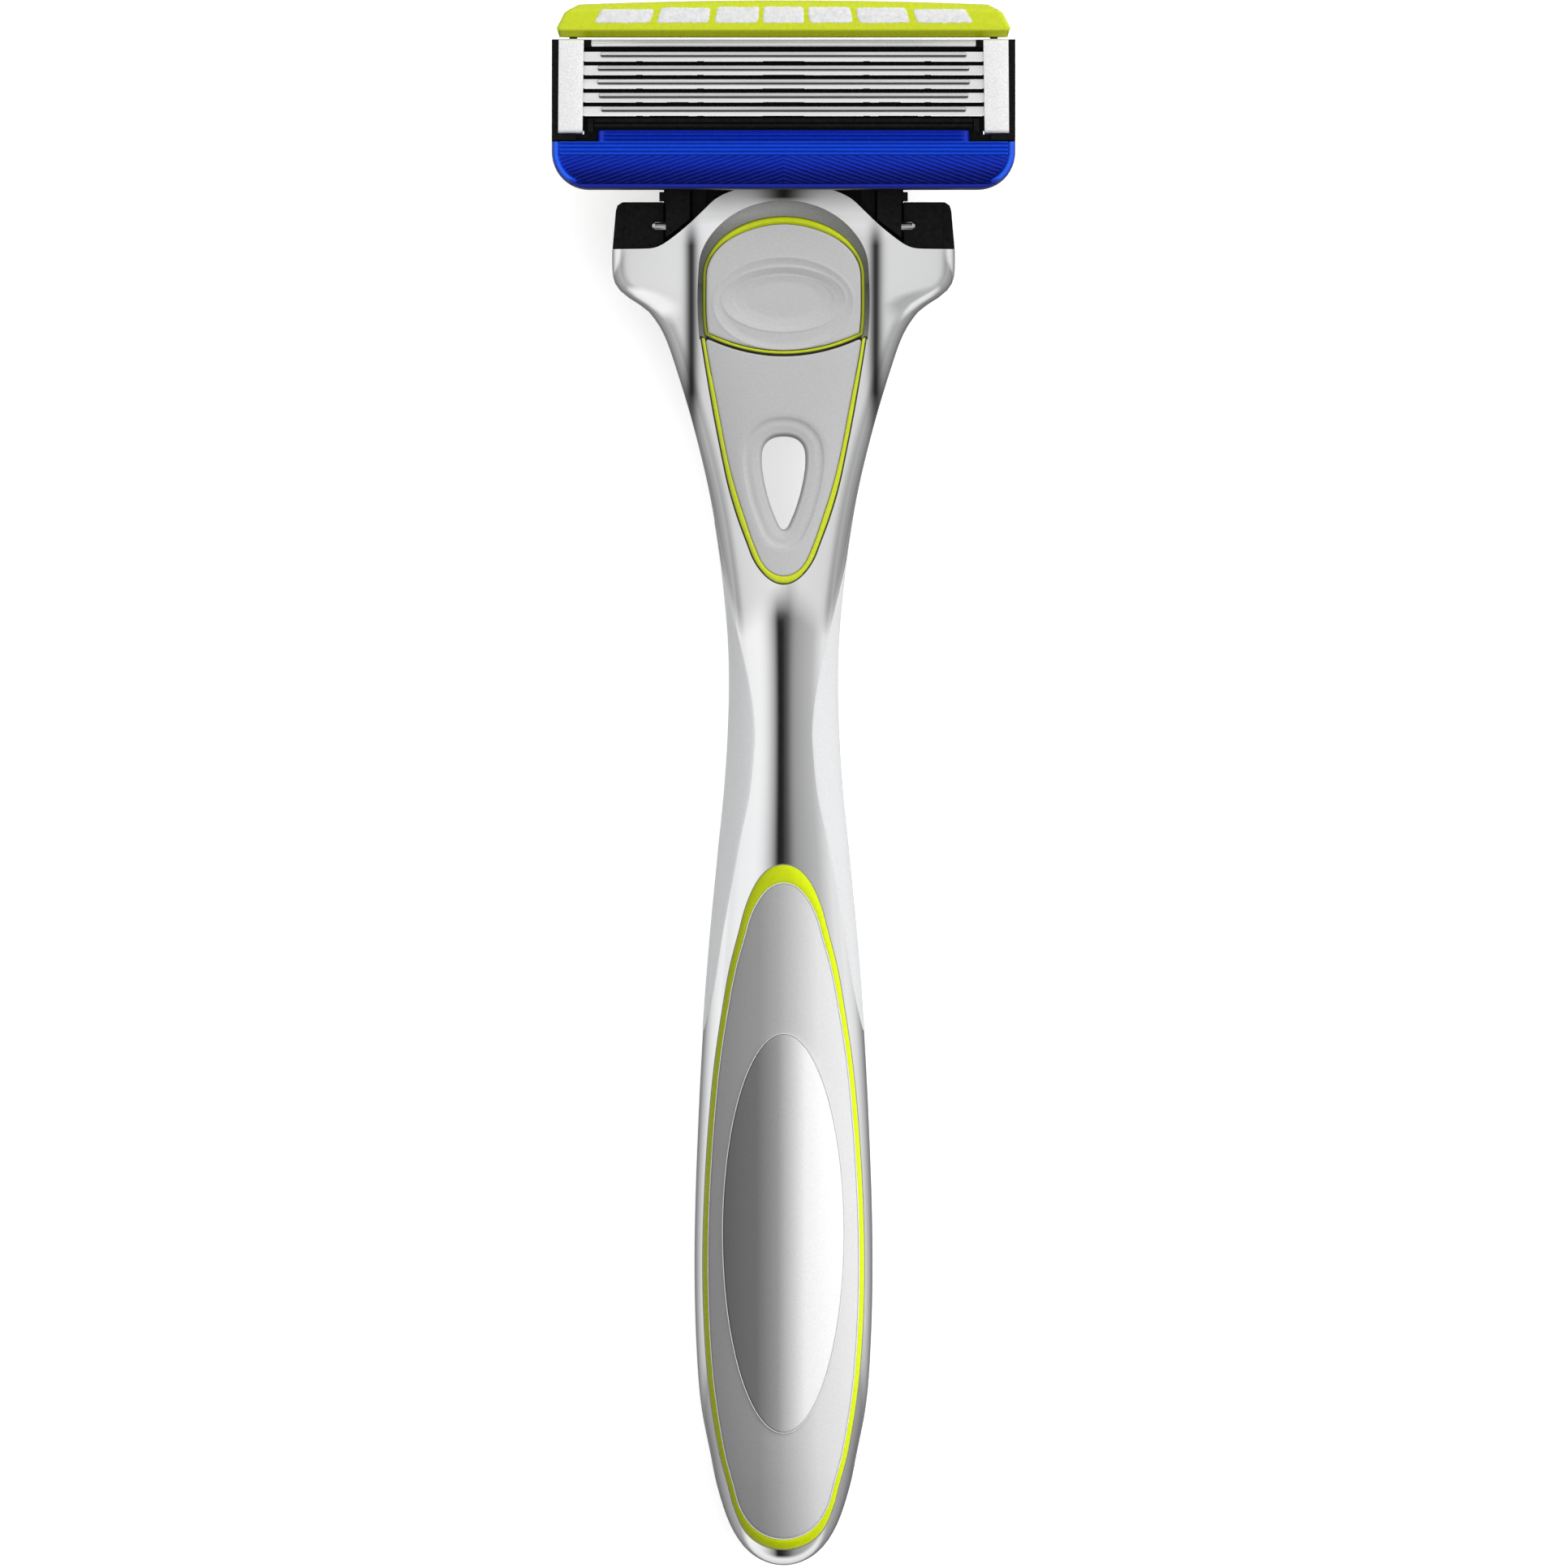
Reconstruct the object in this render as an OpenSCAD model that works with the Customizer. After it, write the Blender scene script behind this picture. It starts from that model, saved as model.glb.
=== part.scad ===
// Cartridge razor, lying on its back with the blades up.
// Millimetres. X across, +Y towards the blades, +Z up. The origin is on the
// resting surface, under the middle of the razor.

/* [Handle] */
// Widest half width of the lower handle
grip_half_w = 8.2; // [7.8:0.1:8.6]
// Height of the handle's spine over the surface at the lower grip
spine_h = 13.5; // [13.0:0.1:14.0]
// Squareness of the handle's section
section_power = 2.4; // [2.2:0.1:2.8]
// Squareness of the section at the shoulder
shoulder_power = 3.1; // [2.9:0.1:3.4]
// Height of the metal shell's belly over the surface
belly_h = 0.4; // [0.3:0.1:0.6]
// Thickness of the pad on the back
back_pad_t = 1.8; // [1.6:0.1:2.2]
// Half width of the pad on the back
back_pad_w = 4.6; // [4.2:0.1:4.9]

/* [Trim] */
// How far the lime rims stand over the metal
rim_proud = 0.12; // [0.05:0.01:0.2]
// Depth of the lime trays
tray_t = 1.7; // [1.5:0.1:1.9]
// Depth of the soft pads
pad_t = 1.1; // [0.9:0.1:1.2]
// Depth of the badge plate in its pad
badge_t = 0.55; // [0.4:0.05:0.7]
// Thickness of the waist inlays
inlay_t = 1.1; // [0.9:0.1:1.3]
// Gap around moulded-in pieces
seam = 0.03; // [0.02:0.01:0.05]
// Half width of the teardrop hole
drop_r = 2.0; // [1.7:0.1:2.1]

/* [Button] */
// Travel of the release button
button_travel = 1.2; // [0.8:0.1:1.2]
// Height of the button over the metal
button_proud = 0.25; // [0.1:0.05:0.35]
// Depth of the thumb dish
dish_d = 0.6; // [0.3:0.1:0.8]
// Width of the lime rim around the thumb pad
button_rim = 0.6; // [0.45:0.05:0.75]

/* [Pivot] */
// Radius of the pivot pins
pivot_pin_r = 0.8; // [0.7:0.05:0.9]
// Running clearance of pins in their bores
run_clear = 0.04; // [0.02:0.01:0.08]
// Radius of the plunger
plunger_r = 0.9; // [0.8:0.05:0.9]
// Wire radius of the springs
wire_r = 0.13; // [0.1:0.01:0.15]

/* [Cartridge] */
// Number of skin guard bars and blades is fixed at five
blade_pitch = 1.25; // [1.22:0.01:1.27]
// Slope of the blades
blade_tilt = 22; // [20:1:24]
// Blade thickness
blade_t = 0.1; // [0.08:0.01:0.1]
// Width of a blade from its edge to its back
blade_l = 0.92; // [0.88:0.01:0.95]
// Half length of the blades
blade_half = 18.85; // [18.6:0.05:18.85]
// Half length of the skin guard bars
bar_half = 16.9; // [16.4:0.1:17.2]
// Thickness of the metal clips
clip_t = 0.25; // [0.2:0.01:0.28]
// Width of the housing
cart_half = 21.2; // [21.1:0.1:21.4]
// Radius of the reservoir's hinge pins
flip_pin_r = 0.6; // [0.5:0.05:0.7]

/* [Guard] */
// Height of the guard's fins
fin_h = 0.4; // [0.2:0.05:0.45]
// Distance between fins
fin_pitch = 0.34; // [0.33:0.01:0.36]

/* [Hidden] */
// Which piece to draw

/* [Hidden] */
e = 0.01;
// pivot axis of the cartridge
piv_y = 61.5;
piv_z = 14.5;
// plunger axis height
plu_z = 9.45;
// hinge axis of the reservoir
flip_y = 70.1;
flip_z = 16.9;
// cutting plane
cut_z = 19.75;
first_edge = 61.2;
seat_z = 16.4;
deck_z = 18.0;
// back of the button recess floor
well_z = 12.1;

lime = [0.72, 0.80, 0.03];
grey = [0.70, 0.70, 0.71];
pale = [0.83, 0.83, 0.84];
metal = [0.80, 0.81, 0.83];
steel = [0.72, 0.73, 0.75];
black = [0.03, 0.03, 0.035];
blue = [0.05, 0.18, 0.72];
white = [0.95, 0.95, 0.94];

// half width of the handle along Y
hw_t = [[-71.8, 6.4], [-68.8, 6.1], [-65.8, 6.1], [-62.8, 6.5], [-57, 7.6], [-51, 8.05],
        [-44, grip_half_w], [-36, grip_half_w - 0.15], [-24, 7.5], [-15, 6.85], [-6, 6.0],
        [0, 5.4], [6, 5.05], [11, 5.0], [15, 5.2], [21, 5.85], [27, 6.85], [33, 8.3],
        [38.5, 9.95], [41.5, 11.1], [44.5, 13.5], [47, 15.4], [48.2, 15.75], [56, 15.6]];
// height of the spine along Y
zt_t = [[-71.8, 10.0], [-66, 11.0], [-60, 12.1], [-45, spine_h - 0.2], [-30, spine_h], [-15, 12.6],
        [0, 11.0], [10, 10.0], [20, 10.3], [30, 11.6], [40, 13.3], [50, 14.8], [56, 15.2]];
// height of the belly along Y
zb_t = [[-71.8, 2.8], [-66, 1.8], [-60, 0.8], [-53, belly_h], [-48, belly_h], [0, belly_h], [6, belly_h + 0.05],
        [12, 0.9], [20, 1.7], [30, 3.2], [40, 4.7], [50, 5.6], [56, 5.8]];
pw_t = [[-71.8, section_power], [10, section_power], [30, section_power + 0.2], [48, shoulder_power], [56, shoulder_power]];
butt_y = -71.8;
butt_l = 9;
butt_z = 6.6;

// lower grip outlines, half widths
tray_w = [[-70.3, 4.9], [-67.3, 4.6], [-65.3, 4.87], [-61.3, 5.9], [-55.3, 6.85], [-49.4, 7.3], [-43.4, 7.42],
          [-37.5, 7.26], [-31.5, 6.9], [-25.5, 6.33], [-19.6, 5.45], [-16.6, 4.9], [-12.3, 3.8], [-10.6, 3.47],
          [-8.9, 3.33], [-7.3, 3.4]];
gpad_w = [[-69.35, 4.1], [-67.3, 4.1], [-65.35, 4.4], [-61.3, 5.45], [-55.3, 6.4], [-49.4, 6.85], [-43.4, 6.97],
          [-37.5, 6.82], [-31.5, 6.45], [-25.5, 5.88], [-19.6, 4.97], [-16.6, 4.36], [-12.95, 3.35], [-10.6, 2.9], [-8.95, 2.8]];
badge_w = [[-59.5, 5.6], [-22.8, 5.6]];
// neck shield outlines, half widths
neck_w = [[18.5, 2.3], [19.9, 2.6], [21.4, 3.02], [24.4, 4.13], [27.3, 5.0], [30.3, 5.65], [34.8, 6.52], [40.7, 7.5], [43, 7.8]];
npad_w = [[19.2, 2.45], [21.4, 2.55], [22.9, 3.05], [27.3, 4.47], [30.3, 5.22], [34.8, 6.08], [40, 7.05], [43, 7.4]];
// button and its well, half widths
btn_w = [[38, 7.1], [41.3, 7.3], [43, 7.45], [46.6, 7.45], [52.15, 7.35]];
bpad_w = [[38, 6.4], [41.3, 6.75], [43, 6.9], [46.6, 6.9], [51.4, 6.7]];
well_w = [[38, 7.4], [41.8, 7.8], [44.8, 7.9], [48.9, 7.7], [51.1, 7.5], [53.6, 7.4]];
// inner edge of the waist inlays
inlay_b = [[-22.6, 7.3], [-18.8, 6.4], [-13.6, 5.5], [-8.4, 4.5], [-4.7, 3.8], [-1, 3.0], [2.8, 2.6], [5, 2.5],
           [8, 2.8], [11, 3.4], [15.4, 4.5], [19.9, 5.6], [24.4, 6.5]];

// smooth curve through a short table
function seg(t, y, i = 0) = (i >= len(t) - 2 || y < t[i + 1][0]) ? i : seg(t, y, i + 1);
function slope(t, i) = let (a = max(0, i - 1), b = min(len(t) - 1, i + 1)) (t[b][1] - t[a][1]) / (t[b][0] - t[a][0]);
function spl(t, y) = let (i = seg(t, y), h = t[i + 1][0] - t[i][0], s = max(0, min(1, (y - t[i][0]) / h)))
    t[i][1] * (2*s*s*s - 3*s*s + 1) + slope(t, i) * h * (s*s*s - 2*s*s + s)
    + t[i + 1][1] * (3*s*s - 2*s*s*s) + slope(t, i + 1) * h * (s*s*s - s*s);

// rounding of the butt
function butt(y) = y < butt_y + butt_l ? sqrt(max(0.0004, 1 - pow((butt_y + butt_l - y) / butt_l, 2))) : 1;
function hwid(y) = spl(hw_t, y) * butt(y);
function htop(y) = butt_z + (spl(zt_t, y) - butt_z) * butt(y);
function hbot(y) = butt_z - (butt_z - spl(zb_t, y)) * butt(y);
function spw(y) = spl(pw_t, y);
// height of the metal's upper surface at a point
function ztop(x, y) = let (zc = (htop(y) + hbot(y)) / 2, h = (htop(y) - hbot(y)) / 2, n = spw(y), u = min(0.999, abs(x) / hwid(y)))
    zc + h * pow(1 - pow(u, n), 1 / n);
function sgnpow(v, p) = v < 0 ? -pow(-v, p) : pow(v, p);
ring_y = concat([for (a = [88, 80, 70, 60, 48, 36, 24, 12]) butt_y + butt_l - butt_l * sin(a)],
                [for (i = [0:41]) -62.8 + i * 118.8 / 41]);

// solid of the handle's outer shape, pulled in by g
module handle_loft(g = 0, sides = 32) {
    nr = len(ring_y);
    pts = [for (y = ring_y) let (w = max(0.1, hwid(y) - g), n = spw(y), zt = htop(y) - g, zb = hbot(y) + g, zc = (zt + zb) / 2, h = max(0.1, (zt - zb) / 2))
           for (j = [0:sides - 1]) let (a = 360 * (j + 0.5) / sides) [w * sgnpow(cos(a), 2 / n), y, zc + h * sgnpow(sin(a), 2 / n)]];
    walls = [for (i = [0:nr - 2]) for (j = [0:sides - 1]) let (k = (j + 1) % sides)
             each [[i*sides + j, i*sides + k, (i + 1)*sides + k], [i*sides + j, (i + 1)*sides + k, (i + 1)*sides + j]]];
    polyhedron(points = pts, faces = concat(walls, [[for (j = [sides - 1:-1:0]) j]], [[for (j = [0:sides - 1]) (nr - 1)*sides + j]]), convexity = 6);
}

// rounded ends of a panel
function cap(y, y0, y1, la, lb) = (la > 0 && y < y0 + la) ? sqrt(max(0.0006, 1 - pow((y0 + la - y) / la, 2)))
    : (lb > 0 && y > y1 - lb) ? sqrt(max(0.0006, 1 - pow((y - y1 + lb) / lb, 2))) : 1;

// slab between two surfaces that follow the handle; flat > 0 gives it a flat underside at that height
module panel(wt, y0, y1, la, lb, dtop, dbot, grow = 0, flat = 0, dish = 0, ny = 24, nx = 8) {
    ya = y0 - grow;
    yb = y1 + grow;
    ys = [for (i = [0:ny]) ya + (yb - ya) * (1 - cos(180 * i / ny)) / 2];
    top = [for (y = ys) let (w = max(0.12, (spl(wt, min(y1, max(y0, y))) + grow) * cap(y, ya, yb, la, lb)))
           for (j = [0:nx]) let (x = w * (2 * j / nx - 1))
           [x, y, ztop(x, y) + dtop - dish * max(0, 1 - pow(x / 5.6, 2) - pow((y - 44.6) / 4.3, 2))]];
    bot = [for (p = top) [p[0], p[1], flat > 0 ? flat : ztop(p[0], p[1]) + dbot]];
    m = nx + 1;
    o = len(top);
    f_top = [for (i = [0:ny - 1]) for (j = [0:nx - 1]) each [[i*m + j, (i+1)*m + j, (i+1)*m + j + 1], [i*m + j, (i+1)*m + j + 1, i*m + j + 1]]];
    f_bot = [for (f = f_top) [f[2] + o, f[1] + o, f[0] + o]];
    f_a = [for (j = [0:nx - 1]) each [[o + j, j, j + 1], [o + j, j + 1, o + j + 1]]];
    f_b = [for (j = [0:nx - 1]) let (s = ny * m) each [[o + s + j + 1, s + j + 1, s + j], [o + s + j + 1, s + j, o + s + j]]];
    f_l = [for (i = [0:ny - 1]) let (a = i * m, b = (i + 1) * m) each [[o + b, b, a], [o + b, a, o + a]]];
    f_r = [for (i = [0:ny - 1]) let (a = i * m + nx, b = (i + 1) * m + nx) each [[o + a, a, b], [o + a, b, o + b]]];
    polyhedron(points = concat(top, bot), faces = concat(f_top, f_bot, f_a, f_b, f_l, f_r), convexity = 6);
}

// outline of the teardrop hole
module drop2d(r = drop_r) {
    hull() {
        translate([0, 30.05]) circle(r = r, $fn = 28);
        translate([0, 23.9]) circle(r = r * 0.2, $fn = 16);
    }
}
module drop_cut(r = drop_r) translate([0, 0, -1]) linear_extrude(30) drop2d(r);

// everything below the button's lower edge, lowered by d
module button_foot(d = 0) {
    translate([0, 0, 5]) linear_extrude(20)
        polygon(concat([[-12, 30], [12, 30]], [for (i = [12:-1:-12]) [i, 39.5 - d + 1.8 * pow(i / 7.4, 2)]]));
}
// outline of the well around the button
module well2d() {
    ys = [for (i = [0:24]) 38 + 15.6 * sin(90 * i / 24)];
    polygon(concat([for (y = ys) [spl(well_w, y) * cap(y, 38, 53.6, 0, 6), y]],
                   [for (i = [24:-1:0]) [-spl(well_w, ys[i]) * cap(ys[i], 38, 53.6, 0, 6), ys[i]]]));
}
module well_cut() {
    difference() {
        translate([0, 0, well_z]) linear_extrude(12) well2d();
        button_foot(0.15);
    }
}

// front edge of the metal shoulder and hood
module front_clip() {
    translate([0, 0, -5]) linear_extrude(30)
        polygon(concat([[-30, -80], [30, -80], [30, 49.2], [12.4, 49.2], [10.9, 49.7], [9.8, 50.5], [8.6, 51.5], [6.4, 53.6], [4.9, 54.4], [2.5, 55.1], [0, 55.3]],
                       [[-2.5, 55.1], [-4.9, 54.4], [-6.4, 53.6], [-8.6, 51.5], [-9.8, 50.5], [-10.9, 49.7], [-12.4, 49.2], [-30, 49.2]]));
}

// region taken by the waist inlays on one side, grown by g
module inlay_zone(s, g = 0) {
    translate([0, 0, 2.2 - g]) linear_extrude(14)
        polygon(concat([for (i = [0:30]) let (y = -22.6 - g + i * (47 + 2 * g) / 30) [s * (spl(inlay_b, min(24.4, max(-22.6, y))) - g), y]],
                       [[s * 12, 24.4 + g], [s * 12, -22.6 - g]]));
}

// weight and spring spaces
module weight_space(g = 0) {
    translate([0, 0, 1.0]) linear_extrude(6.2 + g) hull() {
        translate([0, -58]) circle(r = 3.0 + g, $fn = 32);
        translate([0, -38]) circle(r = 3.0 + g, $fn = 32);
    }
}
// pocket of the black insert in the metal
module dock_space(g = 0) {
    translate([-7.1 - g, 46 - g, 7.0 - g]) cube([14.2 + 2*g, 12, 4.5 + 2*g]);
    translate([-13 - g, 46.2 - g, 9.4 - g]) cube([26 + 2*g, 3.4 + 2*g, 2.6 + 2*g]);
    both() translate([7.1 - g, 49.25 - g, 9.0 - g]) cube([9.9 + g, 12, 3.4 + 2*g]);
}

// helical spring along +Y, closed tube of wire
module coil(y0, y1, z, r, turns, per = 12, sides = 6) {
    n = turns * per;
    pts = [for (i = [0:n]) let (a = 360 * i / per, y = y0 + wire_r + (y1 - y0 - 2 * wire_r) * i / n)
           for (j = [0:sides - 1]) let (b = 360 * j / sides, q = r - wire_r + wire_r * cos(b)) [q * cos(a), y + wire_r * sin(b), z + q * sin(a)]];
    walls = [for (i = [0:n - 1]) for (j = [0:sides - 1]) let (k = (j + 1) % sides)
             each [[i*sides + j, (i + 1)*sides + k, i*sides + k], [i*sides + j, (i + 1)*sides + j, (i + 1)*sides + k]]];
    polyhedron(points = pts, faces = concat(walls, [[for (j = [0:sides - 1]) j]], [[for (j = [sides - 1:-1:0]) n*sides + j]]), convexity = 8);
}

// profile in the YZ plane drawn out along X between two stations
module bar_x(x0, x1) translate([x0, 0, 0]) rotate([90, 0, 90]) linear_extrude(x1 - x0) children();
module both() { children(); mirror([1, 0, 0]) children(); }

// ---------------------------------------------------------------- handle

module handle_frame() color(metal) resize([0, 0, 0]) difference() {
    intersection() {
        handle_loft();
        front_clip();
    }
    // trays
    panel(tray_w, -70.3, -7.3, 5, 5, 4, -tray_t - seam, seam);
    panel(neck_w, 18.5, 43, 3, 0, 4, -tray_t - seam, seam);
    // button well with the stem's slot and the pusher's space
    well_cut();
    translate([-2.9, 40.3, 10]) cube([5.8, 4.5, 4]);
    translate([-3.9, 37.6, 7.6]) cube([7.8, 9, 3.45]);
    translate([-1.63, 44.32, 7.02]) cube([3.26, 1.8, 0.7]);
    // black insert
    dock_space(seam);
    // inlays
    for (s = [-1, 1]) difference() {
        inlay_zone(s, seam);
        handle_loft(inlay_t + seam);
    }
    // pad on the back and the weight over it
    back_pad_shape(seam, 0.2);
    weight_space(seam);
    drop_cut(drop_r + seam);
}

module back_pad_shape(g = 0, h = 0) {
    translate([0, 0, -h]) linear_extrude(back_pad_t + h + g) hull() {
        translate([0, -48.5]) circle(r = back_pad_w + g, $fn = 40);
        translate([0, -30]) circle(r = back_pad_w + 0.3 + g, $fn = 40);
        translate([0, 3]) circle(r = 2.6 + g, $fn = 32);
    }
}
module back_grip() color(grey) difference() {
    back_pad_shape();
    // grooves across the back
    for (y = [-46:4:-2]) translate([-8, y, -e]) rotate([-90, 0, -90]) rotate([0, 0, 180]) linear_extrude(16) polygon([[-0.5, -0.01], [0.5, -0.01], [0.25, 0.5], [-0.25, 0.5]]);
    translate([0, 0, 1.0 - seam]) weight_plug(seam);
}
module weight_plug(g) linear_extrude(2) hull() {
    translate([0, -58]) circle(r = 3.0 + g, $fn = 32);
    translate([0, -38]) circle(r = 3.0 + g, $fn = 32);
}

module grip_tray() color(lime) resize([0, 0, 0]) difference() {
    panel(tray_w, -70.3, -7.3, 5, 5, rim_proud, -tray_t);
    panel(gpad_w, -69.35, -8.95, 4, 4, 4, -pad_t);
}
module grip_pad() color(grey) resize([0, 0, 0]) difference() {
    panel(gpad_w, -69.35, -8.95, 4, 4, 0.02, -pad_t + seam, -seam);
    panel(badge_w, -59.5, -22.8, 18.35, 18.35, 4, -badge_t);
}
module badge_plate() color(steel) panel(badge_w, -59.5, -22.8, 18.35, 18.35, 0.22, -badge_t + seam, -seam, ny = 20);

module neck_tray() color(lime) resize([0, 0, 0]) difference() {
    panel(neck_w, 18.5, 43, 3, 0, rim_proud, -tray_t);
    panel(npad_w, 19.2, 43, 3, 0, 4, -pad_t);
    drop_cut();
    translate([0, 0, 5]) linear_extrude(20) polygon(concat([[12, 60], [-12, 60]], [for (i = [-12:12]) [i, 39.3 + 1.8 * pow(i / 7.4, 2)]]));
}
module neck_pad() color(grey) resize([0, 0, 0]) difference() {
    panel(npad_w, 19.2, 43, 3, 0, 0.02, -pad_t + seam, -seam);
    drop_cut();
    translate([0, 0, 5]) linear_extrude(20) polygon(concat([[12, 60], [-12, 60]], [for (i = [-12:12]) [i, 39.05 + 1.8 * pow(i / 7.4, 2)]]));
}

module side_grip(s) color(pale) resize([0, 0, 0]) difference() {
    intersection() {
        handle_loft(-0.04);
        inlay_zone(s);
    }
    handle_loft(inlay_t);
}
module side_grip_left() side_grip(-1);
module side_grip_right() side_grip(1);

module balance_weight() color(steel) difference() {
    translate([0, 0, 1.05]) linear_extrude(6.1) hull() {
        translate([0, -58]) circle(r = 2.95, $fn = 32);
        translate([0, -38]) circle(r = 2.95, $fn = 32);
    }
    translate([0, -48, 3]) cylinder(r = 1.2, h = 6, $fn = 32);
}

module wing2d() polygon([[7.1, 49.25], [15.7, 49.25], [15.4, 52.7], [15.25, 53.2], [14.8, 53.5], [11.0, 53.5], [11.0, 55.0], [7.1, 55.0]]);
module docking_head() color(black) difference() {
    union() {
        translate([-7.1, 46, 7.0]) cube([14.2, 8.8, 4.5]);
        translate([-13, 46.2, 9.4]) cube([26, 3.4, 2.6]);
        both() translate([0, 0, 9.0]) linear_extrude(3.4) wing2d();
        // seat of the button's return spring
        translate([-1.6, 44.35, 7.65]) cube([3.2, 0.7, 3.3]);
        both() translate([1.2, 44.35, 7.05]) cube([0.4, 1.7, 0.6 + e]);
        translate([-1.6, 44.35, 7.05]) cube([3.2, 0.7, 0.7]);
    }
    // socket for the tongue
    translate([-3.5, 45.1, 7.95]) cube([7.0, 12, 3.0]);
    // channels for the posts
    both() translate([8.35, 49.5, 10.35]) cube([2.7, 8, 6]);
    // relief along the wing's outer rim
    both() translate([0, 0, 12.15]) linear_extrude(1) polygon([[14.6, 48], [17, 48], [17, 54], [14.6, 54]]);
}

module button_spring() color(steel) coil(39.85, 44.3, 9.2, 1.1, 5);

// ---------------------------------------------------------------- button

module button_base() color(lime) resize([0, 0, 0]) difference() {
    union() {
        difference() {
            panel(btn_w, 38, 52.15, 0, 5.5, button_proud, 0, 0, well_z + 0.25, dish_d * 0.9, 22, 10);
            button_foot(0);
        }
        translate([-2.6, 40.6, 10.9]) cube([5.2, 2.6, 3]);
    }
    difference() {
        panel(bpad_w, 38, 51.4, 0, 5, 4, 0, 0, well_z + 1.1, 0, 22, 10);
        button_foot(-0.4);
    }
}
module button_pad() color(grey) resize([0, 0, 0]) difference() {
    panel(bpad_w, 38, 51.4, 0, 5, button_proud - 0.02, 0, -seam, well_z + 1.1 + seam, dish_d, 22, 10);
    button_foot(-0.4 - seam);
}
module pusher() color(black) difference() {
    union() {
        translate([-3.3, 38.6, 7.85]) cube([6.6, 1.2, 2.95]);
        both() translate([2.0, 39.7, 7.85]) cube([1.3, 4.1, 2.95]);
        translate([-3.3, 39.7, 10.35]) cube([6.6, 3.3, 0.45]);
    }
    translate([0, 38, 9.2]) rotate([-90, 0, 0]) cylinder(r = 0.5, h = 3, $fn = 24);
}

// ---------------------------------------------------------------- connector

module connector_yoke() color(black) difference() {
    union() {
        // crossbar and tongue
        translate([-10.8, 55.6, 8.0]) cube([21.6, 3.0, 4.0]);
        translate([-3.4, 45.3, 8.05]) cube([6.8, 10.6, 2.8]);
        // arms to the pivot
        both() bar_x(8.7, 10.7) hull() {
            translate([piv_y, piv_z]) circle(r = 1.6, $fn = 40);
            translate([55.6, 8.0]) square([3.0, 5.6]);
        }
        // posts beside the hood
        both() translate([0, 0, 10.6]) linear_extrude(3.3) polygon([[8.6, 51.9], [10.8, 50.2], [10.8, 56], [8.6, 56]]);
        both() translate([10.7, 53.6, 10.6]) cube([0.7, 0.8, 3.0]);
    }
    // room for the cam lug
    translate([-1.8, 57.2, 7.0]) cube([3.6, 3, 8]);
    // plunger bore
    translate([0, 46.3, plu_z]) rotate([-90, 0, 0]) cylinder(r = plunger_r + run_clear, h = 14, $fn = 40);
    // pin holes
    both() translate([8.9, piv_y, piv_z]) rotate([0, 90, 0]) cylinder(r = pivot_pin_r, h = 4, $fn = 40);
    both() translate([9.8, 51.3, 13.0]) rotate([0, 90, 0]) cylinder(r = 0.42, h = 3, $fn = 32);
}
module latch_pegs() color(steel) both() translate([9.8, 51.3, 13.0]) rotate([0, 90, 0]) {
    cylinder(r = 0.42, h = 2.0, $fn = 32);
    translate([0, 0, 2.0]) cylinder(r1 = 0.42, r2 = 0.22, h = 0.25, $fn = 32);
}
module pivot_pins() color(steel) both() translate([8.9, piv_y, piv_z]) rotate([0, 90, 0]) cylinder(r = pivot_pin_r, h = 3.4, $fn = 40);
module plunger_spring() color(steel) coil(46.4, 52.55, plu_z, plunger_r - 0.02, 8);
module plunger() color(black) translate([0, 0, plu_z]) rotate([-90, 0, 0]) {
    translate([0, 0, 52.6]) cylinder(r = plunger_r, h = 7.7, $fn = 40);
    translate([0, 0, 60.3]) cylinder(r1 = plunger_r, r2 = plunger_r - 0.2, h = 0.38, $fn = 40);
}

// ---------------------------------------------------------------- cartridge

function arc(cx, cy, r, a0, a1, n) = [for (i = [0:n]) let (a = a0 + (a1 - a0) * i / n) [cx + r * cos(a), cy + r * sin(a)]];
// outline of the housing, pulled in by g
module cart2d(g = 0) polygon(concat(arc(cart_half - 3.4, 57.9, 3.4 - g, -90, 0, 12), arc(cart_half - 0.6, 67.6, 0.6 - g * 0.5, 0, 90, 6),
    arc(0.6 - cart_half, 67.6, 0.6 - g * 0.5, 90, 180, 6), arc(3.4 - cart_half, 57.9, 3.4 - g, 180, 270, 12)));
module clip_room(g) {
    // slots for the clip's legs
    translate([18.3 - g, 59.6 - g, 10]) cube([2.2 + 2*g, clip_t + 2*g, 20]);
    translate([18.3 - g, 68.25 - clip_t - g, 18.3 - g]) cube([2.2 + 2*g, 0.6, 20]);
    translate([18.3 - g, 67.4 - g, 18.3 - g]) cube([2.2 + 2*g, 1.2, clip_t + 2*g]);
    translate([18.3 - g, 59.6, 19.7]) cube([2.2 + 2*g, 8.7, 2]);
}
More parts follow.
